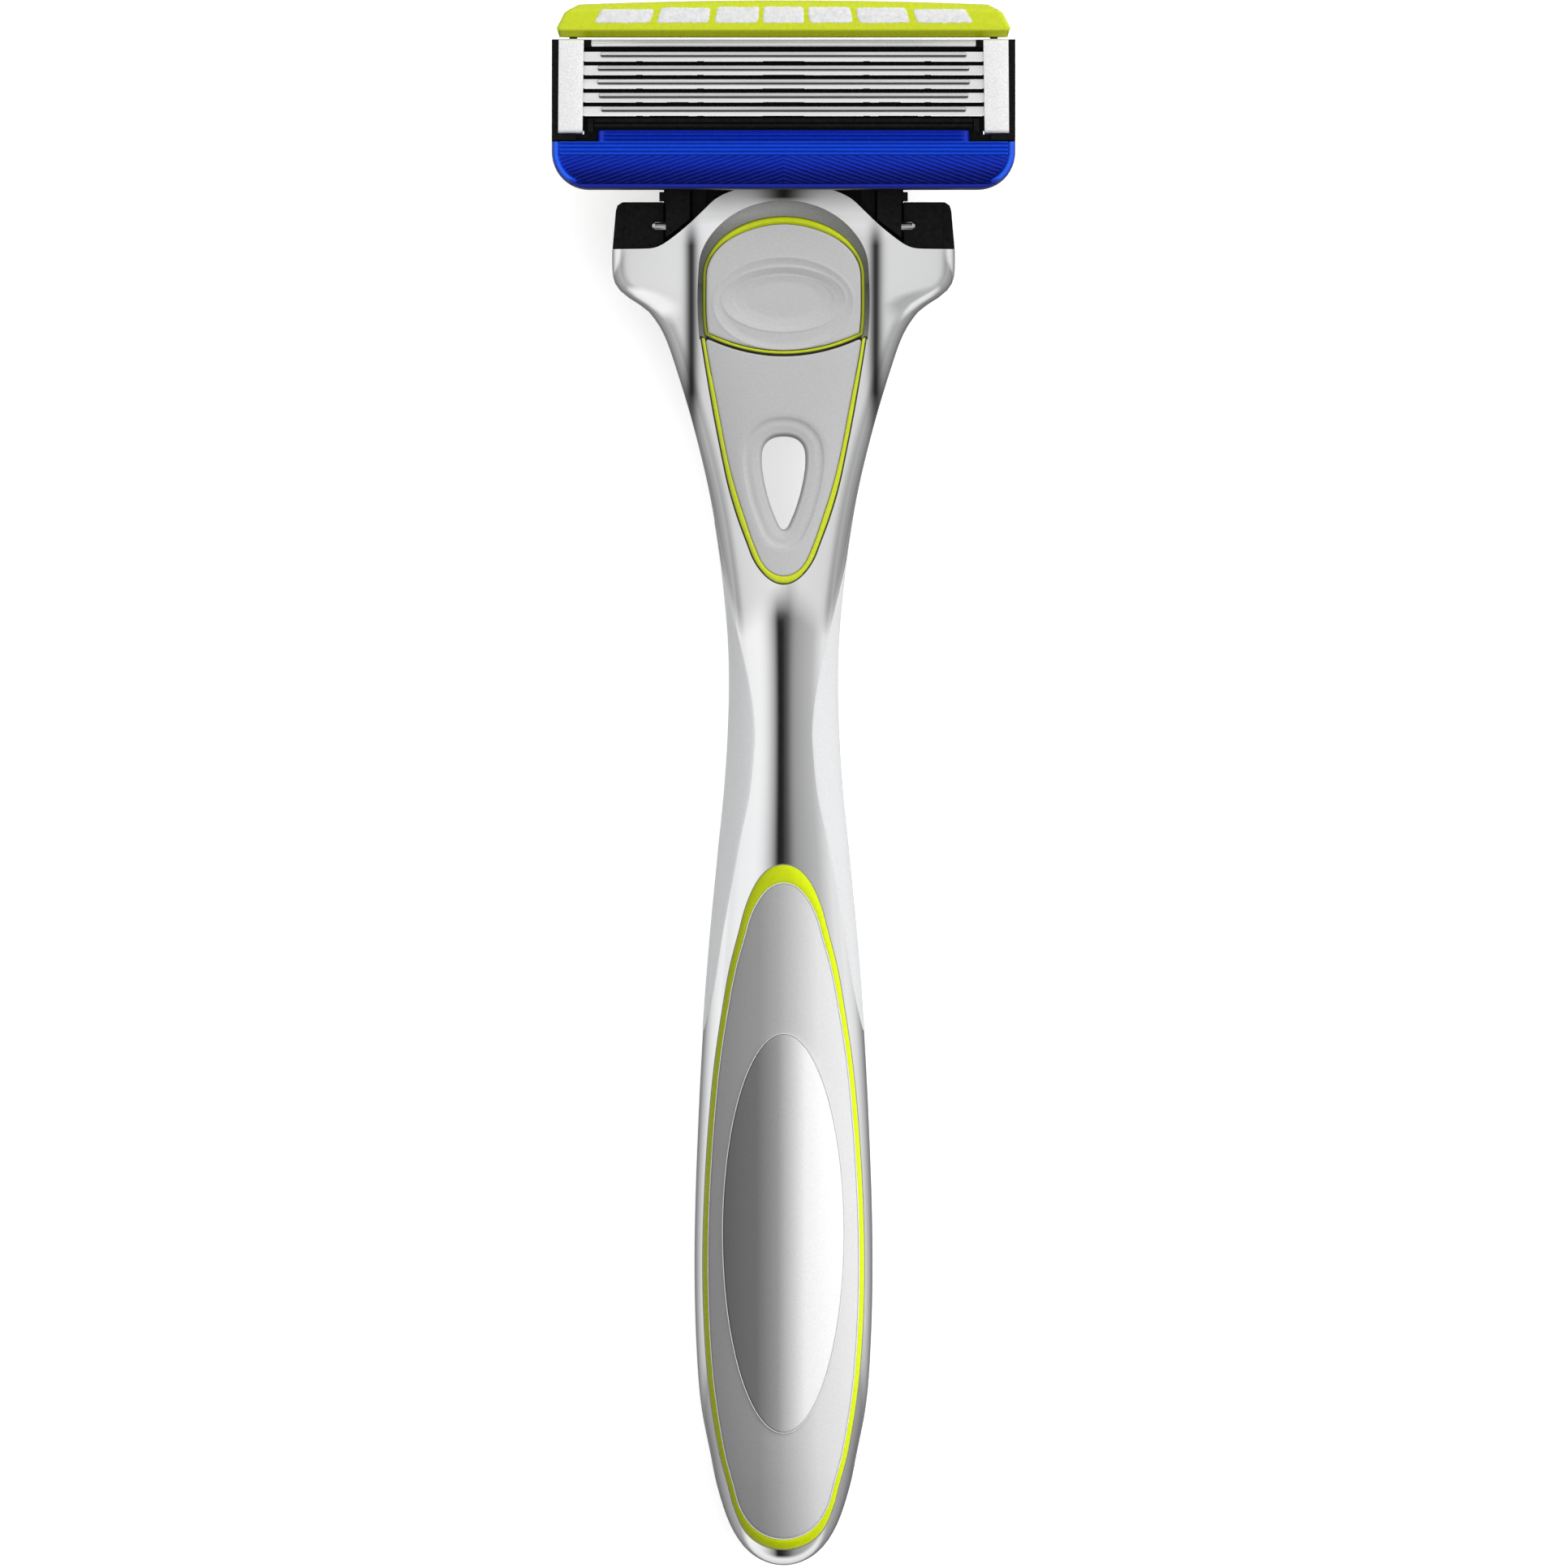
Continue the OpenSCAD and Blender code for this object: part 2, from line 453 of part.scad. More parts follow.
module cartridge_frame() color(black) difference() {
    union() {
        translate([0, 0, seat_z]) linear_extrude(deck_z - seat_z) cart2d();
        // side walls and rear wall
        both() translate([19.0, 59.0, deck_z - e]) cube([cart_half - 19.0, 9.2, 1.6 + e]);
        translate([-19.1, 67.5, deck_z - e]) cube([38.2, 0.7, 0.95 + e]);
        // bars between the blades and the guard
        translate([-17.3, 60.62, deck_z - e]) cube([34.6, 0.36, 1.45]);
        translate([-17.3, 60.18, deck_z - e]) cube([34.6, 0.30, 1.40]);
        both() translate([17.4, 59.75, deck_z - e]) cube([0.5, 1.2, 1.5]);
        // thin edge along the guard
        difference() {
            translate([0, 0, deck_z - e]) linear_extrude(0.5) cart2d();
            translate([-30, 58.9, 0]) cube([60, 30, 30]);
            translate([0, 0, 10]) linear_extrude(20) cart2d(0.25);
        }
        // pivot lugs and cam lug
        both() bar_x(10.9, 12.3) {
            translate([piv_y, piv_z]) circle(r = 1.75, $fn = 40);
            polygon([[piv_y - 1.72, piv_z - 0.3], [piv_y + 1.72, piv_z - 0.3], [piv_y + 1.9, seat_z + 0.3], [piv_y - 1.9, seat_z + 0.3]]);
        }
        bar_x(-1.3, 1.3) {
            translate([piv_y, plu_z]) circle(r = 0.8, $fn = 32);
            translate([piv_y - 0.8, plu_z]) square([1.6, seat_z - plu_z + 0.3]);
        }
        // arms for the reservoir's hinge
        both() bar_x(18.9, 19.6) {
            translate([flip_y, flip_z]) circle(r = 1.0, $fn = 40);
            polygon([[66.5, seat_z], [flip_y - 0.9, flip_z - 0.93], [flip_y - 0.9, flip_z + 0.93], [67.5, 18.0], [66.5, 18.0]]);
        }
    }
    // blade bay, with rinsing slots in its floor under each blade
    translate([-18.95, 61.0, seat_z + 0.7]) cube([37.9, 6.45, 6]);
    for (x = [-18.2, -12.9, -7.3, 1.9, 7.9, 13.5], i = [1:5]) translate([x, edge_y(i) + 0.05, 10]) cube([x == -18.2 || x == 13.5 ? 4.7 : x == -12.9 || x == 7.9 ? 5.0 : 5.4, 0.6, 12]);
    // rinsing slots under the guard
    for (x = [-16, -10, 5, 11]) translate([x, 56.2, 10]) cube([5, 1.6, 7.6]);
    both() clip_room(0.04);
    // hinge bores
    both() translate([10, piv_y, piv_z]) rotate([0, 90, 0]) cylinder(r = pivot_pin_r + run_clear, h = 4, $fn = 40);
    both() translate([18, flip_y, flip_z]) rotate([0, 90, 0]) cylinder(r = flip_pin_r + run_clear, h = 4, $fn = 40);
}

function edge_y(i) = first_edge + blade_pitch * (i - 1);
sn = sin(blade_tilt);
cs = cos(blade_tilt);
tn = sn / cs;
module blade(i) color(steel) bar_x(-blade_half, blade_half) translate([edge_y(i), cut_z])
    polygon([[0, 0], [blade_l * cs, -blade_l * sn], [blade_l * cs - blade_t * sn, -blade_l * sn - blade_t * cs], [0.25 * cs - blade_t * sn, -0.25 * sn - blade_t * cs]]);
module support(i) color([0.5, 0.5, 0.52]) bar_x(-18.6, 18.6) translate([edge_y(i), cut_z])
    polygon([[0.26, -0.26 * tn - blade_t / cs - 0.008], [0.86, -0.86 * tn - blade_t / cs - 0.008], [0.86, -2.6], [0.70, -2.6],
             [0.70, -0.70 * tn - blade_t / cs - 0.18], [0.26, -0.26 * tn - blade_t / cs - 0.17]]);
module blade_1() blade(1);
module blade_2() blade(2);
module blade_3() blade(3);
module blade_4() blade(4);
module blade_5() blade(5);
module blade_support_1() support(1);
module blade_support_2() support(2);
module blade_support_3() support(3);
module blade_support_4() support(4);
module blade_support_5() support(5);

module skin_guard_bars() color(pale) for (i = [1:5]) bar_x(-bar_half, bar_half) translate([edge_y(i), cut_z])
    polygon([[0.42, -0.42 * tn + 0.006], [0.42, -0.02], [0.5, 0.05], [0.76, 0.05], [0.84, -0.02], [0.84, -0.84 * tn + 0.006]]);

module clip(s) color(metal) translate([s > 0 ? 0 : -38.8, 0, 0]) bar_x(18.3, 20.5)
    polygon([[59.6, 16.05], [60.6, 16.05], [60.6, 16.05 + clip_t], [59.6 + clip_t, 16.05 + clip_t], [59.6 + clip_t, 19.78],
             [68.25 - clip_t, 19.78], [68.25 - clip_t, 18.3 + clip_t], [67.4, 18.3 + clip_t], [67.4, 18.3], [68.25, 18.3],
             [68.25, 19.83], [68.05, 19.78 + clip_t], [59.8, 19.78 + clip_t], [59.6, 19.83]]);
module clip_left() clip(-1);
module clip_right() clip(1);

module guard2d() {
    difference() {
        translate([0, 0.05]) cart2d(0.3);
        translate([-30, 58.8]) square([60, 30]);
    }
}
module guard_elastomer() color(blue) {
    translate([0, 0, deck_z]) linear_extrude(1.2) union() {
        guard2d();
        translate([-17.0, 58.7]) square([34.0, 0.95]);
    }
    // straight fins
    for (i = [0:5]) translate([-16.6, 57.9 + i * fin_pitch, deck_z + 1.1]) cube([33.2, 0.15, 0.1 + fin_h]);
    // raised field of the patterned zone
    translate([-18.6, 55.3, deck_z + 1.1]) cube([37.2, 2.2, 0.35]);
}
module cap_bar() color(metal) bar_x(-17.6, 17.6) polygon([[67.52, 18.98], [68.15, 18.98], [68.15, 19.5], [68.0, 19.62], [67.65, 19.62], [67.52, 19.5]]);

// ---------------------------------------------------------------- reservoir

module res_outline() polygon(concat([[-20.5, 68.4], [20.5, 68.4], [20.8, 69.4], [20.3, 70.6], [19.3, 71.35]],
    [for (i = [9:-1:-9]) [i * 2, 71.8 - 0.4 * pow(i * 2 / 19.3, 2)]], [[-19.3, 71.35], [-20.3, 70.6], [-20.8, 69.4]]));
// windows of the gel
function win(i) = [[-1.94, 1.94, 0], [2.2, 6.35, 0.25], [6.6, 11.6, 0.45], [11.85, 17.4, 0.7]][i];
module window2d(i, g = 0) offset(r = 0.2, $fn = 16) offset(delta = -0.2 - g)
    polygon([[win(i)[0] + 0.01, 69.65], [win(i)[1], 69.65], [win(i)[1] - win(i)[2], 71.15], [win(i)[0] - win(i)[2] * 0.6, 71.15]]);
module windows(z0, z1, g = 0) translate([0, 0, z0]) linear_extrude(z1 - z0) {
    window2d(0, g);
    for (i = [1:3]) { window2d(i, g); mirror([1, 0]) window2d(i, g); }
}
module reservoir_carrier() color(lime) difference() {
    intersection() {
        bar_x(-21, 21) polygon(concat([[68.4, 17.2], [68.4, 19.6], [68.75, 20.05], [69.1, 20.15], [71.2, 20.0], [71.6, 19.75], [71.8, 19.3], [71.8, 17.2]],
            arc(flip_y, flip_z, 1.6, 0, -180, 20)));
        translate([0, 0, 10]) linear_extrude(20) res_outline();
    }
    // ends clear of the hinge arms
    both() translate([18.7, 67, 10]) cube([4, 6, 8.55]);
    windows(18.4, 22);
    both() translate([17.0, flip_y, flip_z]) rotate([0, 90, 0]) cylinder(r = flip_pin_r, h = 4, $fn = 32);
}
module gel_pads() color(white) windows(18.43, 20.1, 0.03);
module reservoir_hinge_pins() color(steel) both() translate([17.0, flip_y, flip_z]) rotate([0, 90, 0]) cylinder(r = flip_pin_r, h = 2.6, $fn = 32);

handle_frame();
grip_tray();
grip_pad();
badge_plate();
neck_tray();
neck_pad();
side_grip_left();
side_grip_right();
back_grip();
balance_weight();
docking_head();
button_spring();
button_base();
button_pad();
pusher();
connector_yoke();
latch_pegs();
pivot_pins();
plunger_spring();
plunger();
cartridge_frame();
blade_1();
blade_2();
blade_3();
blade_4();
blade_5();
blade_support_1();
blade_support_2();
blade_support_3();
blade_support_4();
blade_support_5();
skin_guard_bars();
clip_left();
clip_right();
guard_elastomer();
cap_bar();
reservoir_carrier();
gel_pads();
reservoir_hinge_pins();
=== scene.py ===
import bpy
import bmesh
import math
import numpy as np
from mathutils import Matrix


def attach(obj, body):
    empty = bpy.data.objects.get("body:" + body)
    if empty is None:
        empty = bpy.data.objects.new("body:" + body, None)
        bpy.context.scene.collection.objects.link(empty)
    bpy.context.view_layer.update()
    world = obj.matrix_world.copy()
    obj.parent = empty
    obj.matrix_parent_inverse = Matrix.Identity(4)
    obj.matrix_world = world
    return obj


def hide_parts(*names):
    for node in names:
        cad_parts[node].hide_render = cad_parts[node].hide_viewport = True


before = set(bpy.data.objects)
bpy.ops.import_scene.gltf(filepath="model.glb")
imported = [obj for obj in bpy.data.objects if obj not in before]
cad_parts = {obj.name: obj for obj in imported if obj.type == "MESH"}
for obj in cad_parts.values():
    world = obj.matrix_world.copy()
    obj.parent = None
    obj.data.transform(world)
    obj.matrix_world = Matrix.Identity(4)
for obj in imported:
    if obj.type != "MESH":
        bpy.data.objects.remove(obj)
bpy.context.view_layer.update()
MM = 0.001
PI = math.pi

# ------------------------------------------------------------------ design curves, in millimetres
HW_T = [(-71.8, 6.4), (-68.8, 6.1), (-65.8, 6.1), (-62.8, 6.5), (-57, 7.6), (-51, 8.05), (-44, 8.2), (-36, 8.05), (-24, 7.5),
        (-15, 6.85), (-6, 6.0), (0, 5.4), (6, 5.05), (11, 5.0), (15, 5.2), (21, 5.85), (27, 6.85), (33, 8.3), (38.5, 9.95),
        (41.5, 11.05), (43.4, 12.3), (44.2, 13.3), (44.9, 14.4), (45.7, 15.25), (46.6, 15.65), (48.2, 15.75), (56, 15.6)]
ZT_T = [(-71.8, 10.0), (-66, 11.0), (-60, 12.1), (-45, 13.3), (-30, 13.5), (-15, 12.6), (0, 11.0), (10, 10.0), (20, 10.3),
        (30, 11.6), (40, 13.3), (50, 14.8), (56, 15.2)]
ZB_T = [(-71.8, 2.8), (-66, 1.8), (-60, 0.8), (-53, 0.4), (-48, 0.4), (0, 0.4), (6, 0.45), (12, 0.9), (20, 1.7), (30, 3.2),
        (40, 4.7), (50, 5.6), (56, 5.8)]
PW_T = [(-71.8, 2.4), (10, 2.4), (30, 2.6), (48, 3.1), (56, 3.1)]
BUTT_Y, BUTT_L, BUTT_Z = -71.8, 9.0, 6.6
TRAY_W = [(-70.3, 4.9), (-67.3, 4.6), (-65.3, 4.87), (-61.3, 5.9), (-55.3, 6.85), (-49.4, 7.3), (-43.4, 7.42), (-37.5, 7.26),
          (-31.5, 6.9), (-25.5, 6.33), (-19.6, 5.45), (-16.6, 4.9), (-12.3, 3.8), (-10.6, 3.47), (-8.9, 3.33), (-7.3, 3.4)]
GPAD_W = [(-69.35, 4.1), (-67.3, 4.1), (-65.35, 4.4), (-61.3, 5.45), (-55.3, 6.4), (-49.4, 6.85), (-43.4, 6.97), (-37.5, 6.82),
          (-31.5, 6.45), (-25.5, 5.88), (-19.6, 4.97), (-16.6, 4.36), (-12.95, 3.35), (-10.6, 2.9), (-8.95, 2.8)]
NECK_W = [(18.5, 2.3), (19.9, 2.6), (21.4, 3.02), (24.4, 4.13), (27.3, 5.0), (30.3, 5.65), (34.8, 6.52), (40.7, 7.5), (43, 7.8)]
NPAD_W = [(19.2, 2.45), (21.4, 2.55), (22.9, 3.05), (27.3, 4.47), (30.3, 5.22), (34.8, 6.08), (40, 7.05), (43, 7.4)]
BTN_W = [(38, 7.1), (41.3, 7.3), (43, 7.45), (46.6, 7.45), (52.15, 7.35)]
BPAD_W = [(38, 6.5), (41.3, 6.95), (43, 7.05), (46.6, 6.95), (51.4, 6.6)]
WELL_W = [(38, 7.4), (41.8, 7.8), (44.8, 7.9), (48.9, 7.7), (51.1, 7.5), (53.6, 7.4)]
INLAY_B = [(-22.6, 7.3), (-18.8, 6.4), (-13.6, 5.5), (-8.4, 4.5), (-4.7, 3.8), (-1, 3.0), (2.8, 2.6), (5, 2.5), (8, 2.8),
           (11, 3.4), (15.4, 4.5), (19.9, 5.6), (24.4, 6.5)]


def spl(t, y):
    """The same smooth curve through a short table as the CAD uses, for numbers or arrays."""
    y = np.asarray(y, float)
    xs = np.array([p[0] for p in t], float)
    vs = np.array([p[1] for p in t], float)
    n = len(xs)
    i = np.clip(np.searchsorted(xs, y, side="right") - 1, 0, n - 2)
    a = np.maximum(np.arange(n) - 1, 0)
    b = np.minimum(np.arange(n) + 1, n - 1)
    m = (vs[b] - vs[a]) / (xs[b] - xs[a])
    h = xs[i + 1] - xs[i]
    s = np.clip((y - xs[i]) / h, 0, 1)
    return (vs[i] * (2 * s**3 - 3 * s**2 + 1) + m[i] * h * (s**3 - 2 * s**2 + s)
            + vs[i + 1] * (3 * s**2 - 2 * s**3) + m[i + 1] * h * (s**3 - s**2))


def butt(y):
    y = np.asarray(y, float)
    u = (BUTT_Y + BUTT_L - y) / BUTT_L
    return np.where(u > 0, np.sqrt(np.maximum(0.0004, 1 - np.maximum(u, 0) ** 2)), 1.0)


def hwid(y):
    return spl(HW_T, y) * butt(y)


def htop(y):
    return BUTT_Z + (spl(ZT_T, y) - BUTT_Z) * butt(y)


def hbot(y):
    return BUTT_Z - (BUTT_Z - spl(ZB_T, y)) * butt(y)


def ztop(x, y):
    zt, zb, n = htop(y), hbot(y), spl(PW_T, y)
    u = np.minimum(0.999, np.abs(x) / hwid(y))
    return (zt + zb) / 2 + (zt - zb) / 2 * (1 - u**n) ** (1 / n)


def cap(y, y0, y1, la, lb):
    y = np.asarray(y, float)
    c = np.ones_like(y)
    if la > 0:
        u = np.maximum((y0 + la - y) / la, 0)
        c = np.where(y < y0 + la, np.sqrt(np.maximum(0.0, 1 - u**2)), c)
    if lb > 0:
        u = np.maximum((y - y1 + lb) / lb, 0)
        c = np.where(y > y1 - lb, np.sqrt(np.maximum(0.0, 1 - u**2)), c)
    return c


def closed_outline(wt, y0, y1, la, lb, n=400):
    """Closed outline of a panel, both ends rounded, resampled evenly."""
    t = np.linspace(0, PI, n)
    ys = y0 + (y1 - y0) * (1 - np.cos(t)) / 2
    w = spl(wt, ys) * cap(ys, y0, y1, la, lb)
    right = np.stack([w, ys], 1)
    left = np.stack([-w[::-1], ys[::-1]], 1)
    return resample(np.concatenate([right, left[1:-1]]), n, True)


def resample(p, n, closed):
    q = np.concatenate([p, p[:1]]) if closed else p
    d = np.r_[0, np.cumsum(np.hypot(*np.diff(q, axis=0).T))]
    s = np.linspace(0, d[-1], n + 1)[:-1] if closed else np.linspace(0, d[-1], n)
    return np.stack([np.interp(s, d, q[:, 0]), np.interp(s, d, q[:, 1])], 1)


def dist_to(outline, x, y, closed=True):
    """Distance from points to an outline."""
    a = outline
    b = np.roll(outline, -1, axis=0) if closed else outline[1:]
    a = a if closed else outline[:-1]
    px, py = x.ravel(), y.ravel()
    best = np.full(px.shape, 1e9)
    for k in range(len(a)):
        dx, dy = b[k] - a[k]
        L = dx * dx + dy * dy + 1e-12
        t = np.clip(((px - a[k][0]) * dx + (py - a[k][1]) * dy) / L, 0, 1)
        d = (px - a[k][0] - t * dx) ** 2 + (py - a[k][1] - t * dy) ** 2
        best = np.minimum(best, d)
    return np.sqrt(best).reshape(x.shape)


def inset(p, d, closed=True):
    """Outline moved inwards by d (a number or one value per point); the outline runs anticlockwise."""
    if closed:
        t = np.roll(p, -1, 0) - np.roll(p, 1, 0)
    else:
        t = np.gradient(p, axis=0)
    t /= np.maximum(np.hypot(t[:, 0], t[:, 1])[:, None], 1e-9)
    nrm = np.stack([-t[:, 1], t[:, 0]], 1)
    return p + nrm * (np.asarray(d)[..., None] if np.ndim(d) else d)


# ------------------------------------------------------------------ mesh helpers
def make(name, verts, faces, mat, body, smooth=True, angle=40):
    me = bpy.data.meshes.new(name)
    v = np.asarray(verts, float) * MM
    me.from_pydata(v.tolist(), [], [list(map(int, f)) for f in faces])
    me.update()
    bm = bmesh.new()
    bm.from_mesh(me)
    bmesh.ops.remove_doubles(bm, verts=bm.verts, dist=1e-7)
    bmesh.ops.dissolve_degenerate(bm, dist=1e-8, edges=bm.edges)
    bmesh.ops.recalc_face_normals(bm, faces=bm.faces)
    bm.to_mesh(me)
    bm.free()
    ob = bpy.data.objects.new(name, me)
    bpy.context.scene.collection.objects.link(ob)
    me.materials.append(mat)
    if smooth:
        me.shade_smooth()
        if angle:
            me.set_sharp_from_angle(angle=math.radians(angle))
    if body:
        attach(ob, body)
    return ob


def grid_faces(nu, nv, wrap_u=False, wrap_v=False, off=0):
    f = []
    for i in range(nu if wrap_u else nu - 1):
        for j in range(nv if wrap_v else nv - 1):
            a = off + i * nv + j
            b = off + ((i + 1) % nu) * nv + j
            c = off + ((i + 1) % nu) * nv + (j + 1) % nv
            d = off + i * nv + (j + 1) % nv
            f.append((a, b, c, d))
    return f


def slab_from_grid(P, Q):
    """Closed solid between two grids of points of the same shape (nu, nv, 3)."""
    nu, nv = P.shape[:2]
    n = nu * nv
    f = grid_faces(nu, nv) + [tuple(reversed(q)) for q in grid_faces(nu, nv, off=n)]
    ring = [i * nv for i in range(nu)] + [(nu - 1) * nv + j for j in range(1, nv)] + \
           [i * nv + nv - 1 for i in range(nu - 2, -1, -1)] + [j for j in range(nv - 2, 0, -1)]
    for k in range(len(ring)):
        a, b = ring[k], ring[(k + 1) % len(ring)]
        f.append((a, b, b + n, a + n))
    return np.concatenate([P.reshape(-1, 3), Q.reshape(-1, 3)]), f


def sweep_closed(sections):
    """Solid ring: sections (ns, np, 3), both directions closed."""
    ns, npt = sections.shape[:2]
    return sections.reshape(-1, 3), grid_faces(ns, npt, True, True)


def sweep_open(sections):
    """Solid bar: sections (ns, np, 3), each a closed loop, ends capped."""
    ns, npt = sections.shape[:2]
    f = grid_faces(ns, npt, False, True)
    f.append(tuple(range(npt)))
    f.append(tuple((ns - 1) * npt + j for j in range(npt - 1, -1, -1)))
    return sections.reshape(-1, 3), f


def round_over(d, r, drop):
    """Height lost near an edge: 0 further than r inside, drop at the edge, a quarter round between."""
    u = np.clip(1 - d / r, 0, 1)
    return -drop * (1 - np.sqrt(np.maximum(0, 1 - u**2)))


def smooth(a, b, x):
    t = np.clip((x - a) / (b - a), 0, 1)
    return t * t * (3 - 2 * t)


# ------------------------------------------------------------------ materials
def lin(r, g, b):
    def f(c):
        c /= 255
        return c / 12.92 if c <= 0.04045 else ((c + 0.055) / 1.055) ** 2.4
    return (f(r), f(g), f(b), 1)


class Mat:
    def __init__(self, name):
        self.m = bpy.data.materials.new(name)
        self.m.use_nodes = True
        self.nt = self.m.node_tree
        self.b = self.nt.nodes["Principled BSDF"]
        self.co = self.nt.nodes.new("ShaderNodeTexCoord")

    def set(self, **kw):
        for k, v in kw.items():
            self.b.inputs[k.replace("_", " ")].default_value = v
        return self

    def noise(self, scale, detail=4, rough=0.6, stretch=(1, 1, 1), dist=0.0):
        mp = self.nt.nodes.new("ShaderNodeMapping")
        mp.inputs["Scale"].default_value = stretch
        self.nt.links.new(self.co.outputs["Object"], mp.inputs["Vector"])
        n = self.nt.nodes.new("ShaderNodeTexNoise")
        n.inputs["Scale"].default_value = scale
        n.inputs["Detail"].default_value = detail
        n.inputs["Roughness"].default_value = rough
        n.inputs["Distortion"].default_value = dist
        self.nt.links.new(mp.outputs["Vector"], n.inputs["Vector"])
        return n.outputs["Fac"]

    def ramp(self, fac, stops):
        r = self.nt.nodes.new("ShaderNodeValToRGB")
        while len(r.color_ramp.elements) > len(stops):
            r.color_ramp.elements.remove(r.color_ramp.elements[-1])
        while len(r.color_ramp.elements) < len(stops):
            r.color_ramp.elements.new(0.5)
        for el, (p, c) in zip(r.color_ramp.elements, stops):
            el.position = p
            el.color = c if len(c) == 4 else (*c, 1)
        self.nt.links.new(fac, r.inputs["Fac"])
        return r.outputs["Color"]

    def range(self, fac, lo, hi, a=0.0, b=1.0):
        r = self.nt.nodes.new("ShaderNodeMapRange")
        r.inputs["From Min"].default_value = a
        r.inputs["From Max"].default_value = b
        r.inputs["To Min"].default_value = lo
        r.inputs["To Max"].default_value = hi
        self.nt.links.new(fac, r.inputs["Value"])
        return r.outputs["Result"]

    def color(self, out):
        self.nt.links.new(out, self.b.inputs["Base Color"])
        return self

    def rough(self, out):
        self.nt.links.new(out, self.b.inputs["Roughness"])
        return self

    def bump(self, out, strength=0.3, dist=0.00005):
        bp = self.nt.nodes.new("ShaderNodeBump")
        bp.inputs["Strength"].default_value = strength
        bp.inputs["Distance"].default_value = dist
        self.nt.links.new(out, bp.inputs["Height"])
        prev = self.b.inputs["Normal"].links
        if prev:
            self.nt.links.new(prev[0].from_socket, bp.inputs["Normal"])
        self.nt.links.new(bp.outputs["Normal"], self.b.inputs["Normal"])
        return self


def two_tone(m, scale, c1, c2, detail=5, stretch=(1, 1, 1)):
    return m.color(m.ramp(m.noise(scale, detail, 0.6, stretch), [(0.35, c1), (0.65, c2)]))


m = Mat("polished_metal").set(Metallic=1.0, Specular_Tint=(0.45, 0.45, 0.46, 1))


def painted_darkening_mask(mt, xc, wd, y0, y1, y2, y3, floor_):
    """Painted darkening: 1 away from the crease beside the thumb button, floor_ in the middle of it; the colour is
    multiplied by it.
    """
    nt_ = mt.nt

    def math_(op, a, b=None, c=None):
        n = nt_.nodes.new("ShaderNodeMath")
        n.operation = op
        for i_, v_ in enumerate((a, b, c)):
            if v_ is None:
                continue
            if isinstance(v_, (int, float)):
                n.inputs[i_].default_value = v_
            else:
                nt_.links.new(v_, n.inputs[i_])
        return n.outputs[0]
    sp = nt_.nodes.new("ShaderNodeSeparateXYZ")
    nt_.links.new(mt.co.outputs["Object"], sp.inputs[0])
    X_ = math_("MULTIPLY", sp.outputs["X"], 1000.0)
    Y_ = math_("MULTIPLY", sp.outputs["Y"], 1000.0)
    d_ = math_("DIVIDE", math_("SUBTRACT", math_("ABSOLUTE", X_), xc), wd)
    g_ = math_("POWER", 2.71828, math_("MULTIPLY", math_("MULTIPLY", d_, d_), -1.0))
    r1 = mt.range(Y_, 0.0, 1.0, y0, y1)
    r2 = mt.range(Y_, 1.0, 0.0, y2, y3)
    k_ = math_("MULTIPLY", math_("MULTIPLY", g_, r1), r2)
    return math_("SUBTRACT", 1.0, math_("MULTIPLY", k_, 1.0 - floor_))


base = m.ramp(m.noise(60, 4), [(0.35, (0.86, 0.865, 0.875)), (0.65, (0.90, 0.90, 0.905))])
mx = m.nt.nodes.new("ShaderNodeMix")
mx.data_type = "RGBA"
mx.blend_type = "MULTIPLY"
mx.inputs["Factor"].default_value = 1.0
m.nt.links.new(base, mx.inputs["A"])
# painted shade: the chrome colour goes dark along the creases beside the thumb button
m.nt.links.new(painted_darkening_mask(m, 8.45, 0.62, 31.0, 36.0, 49.5, 52.5, 0.05), mx.inputs["B"])
mx2 = m.nt.nodes.new("ShaderNodeMix")
mx2.data_type = "RGBA"
mx2.blend_type = "MULTIPLY"
mx2.inputs["Factor"].default_value = 1.0
m.nt.links.new(mx.outputs["Result"], mx2.inputs["A"])
# painted reflection: a dark soft patch on the hood front above the button, the chrome's own colour made dark there
m.nt.links.new(painted_darkening_mask(m, 0.0, 2.3, 53.2, 53.9, 60.0, 61.0, 0.03), mx2.inputs["B"])
m.color(mx2.outputs["Result"])
sp = m.nt.nodes.new("ShaderNodeSeparateXYZ")
m.nt.links.new(m.co.outputs["Object"], sp.inputs[0])
m.nt.links.new(m.range(sp.outputs["Y"], 1.0, 0.35, 0.0500, 0.0524), m.b.inputs["Metallic"])
m.rough(m.range(m.noise(900, 6, 0.7), 0.035, 0.075, 0.3, 0.7))
m.bump(m.noise(6000, 2, 0.5), 0.02, 0.000004)
CHROME = m.m

m = Mat("well_metal").set(Metallic=0.0)
two_tone(m, 4000, (0.36, 0.36, 0.36), (0.42, 0.42, 0.42))
m.rough(m.range(m.noise(2500, 4), 0.38, 0.5, 0.3, 0.7))
m.bump(m.noise(9000, 3), 0.10, 0.00001)
WELL = m.m

m = Mat("satin_metal").set(Metallic=0.2)
grain = m.ramp(m.noise(9000, 6, 0.75), [(0.30, (0.80, 0.80, 0.80)), (0.70, (1.0, 1.0, 1.0))])
sp = m.nt.nodes.new("ShaderNodeSeparateXYZ")
m.nt.links.new(m.co.outputs["Object"], sp.inputs[0])
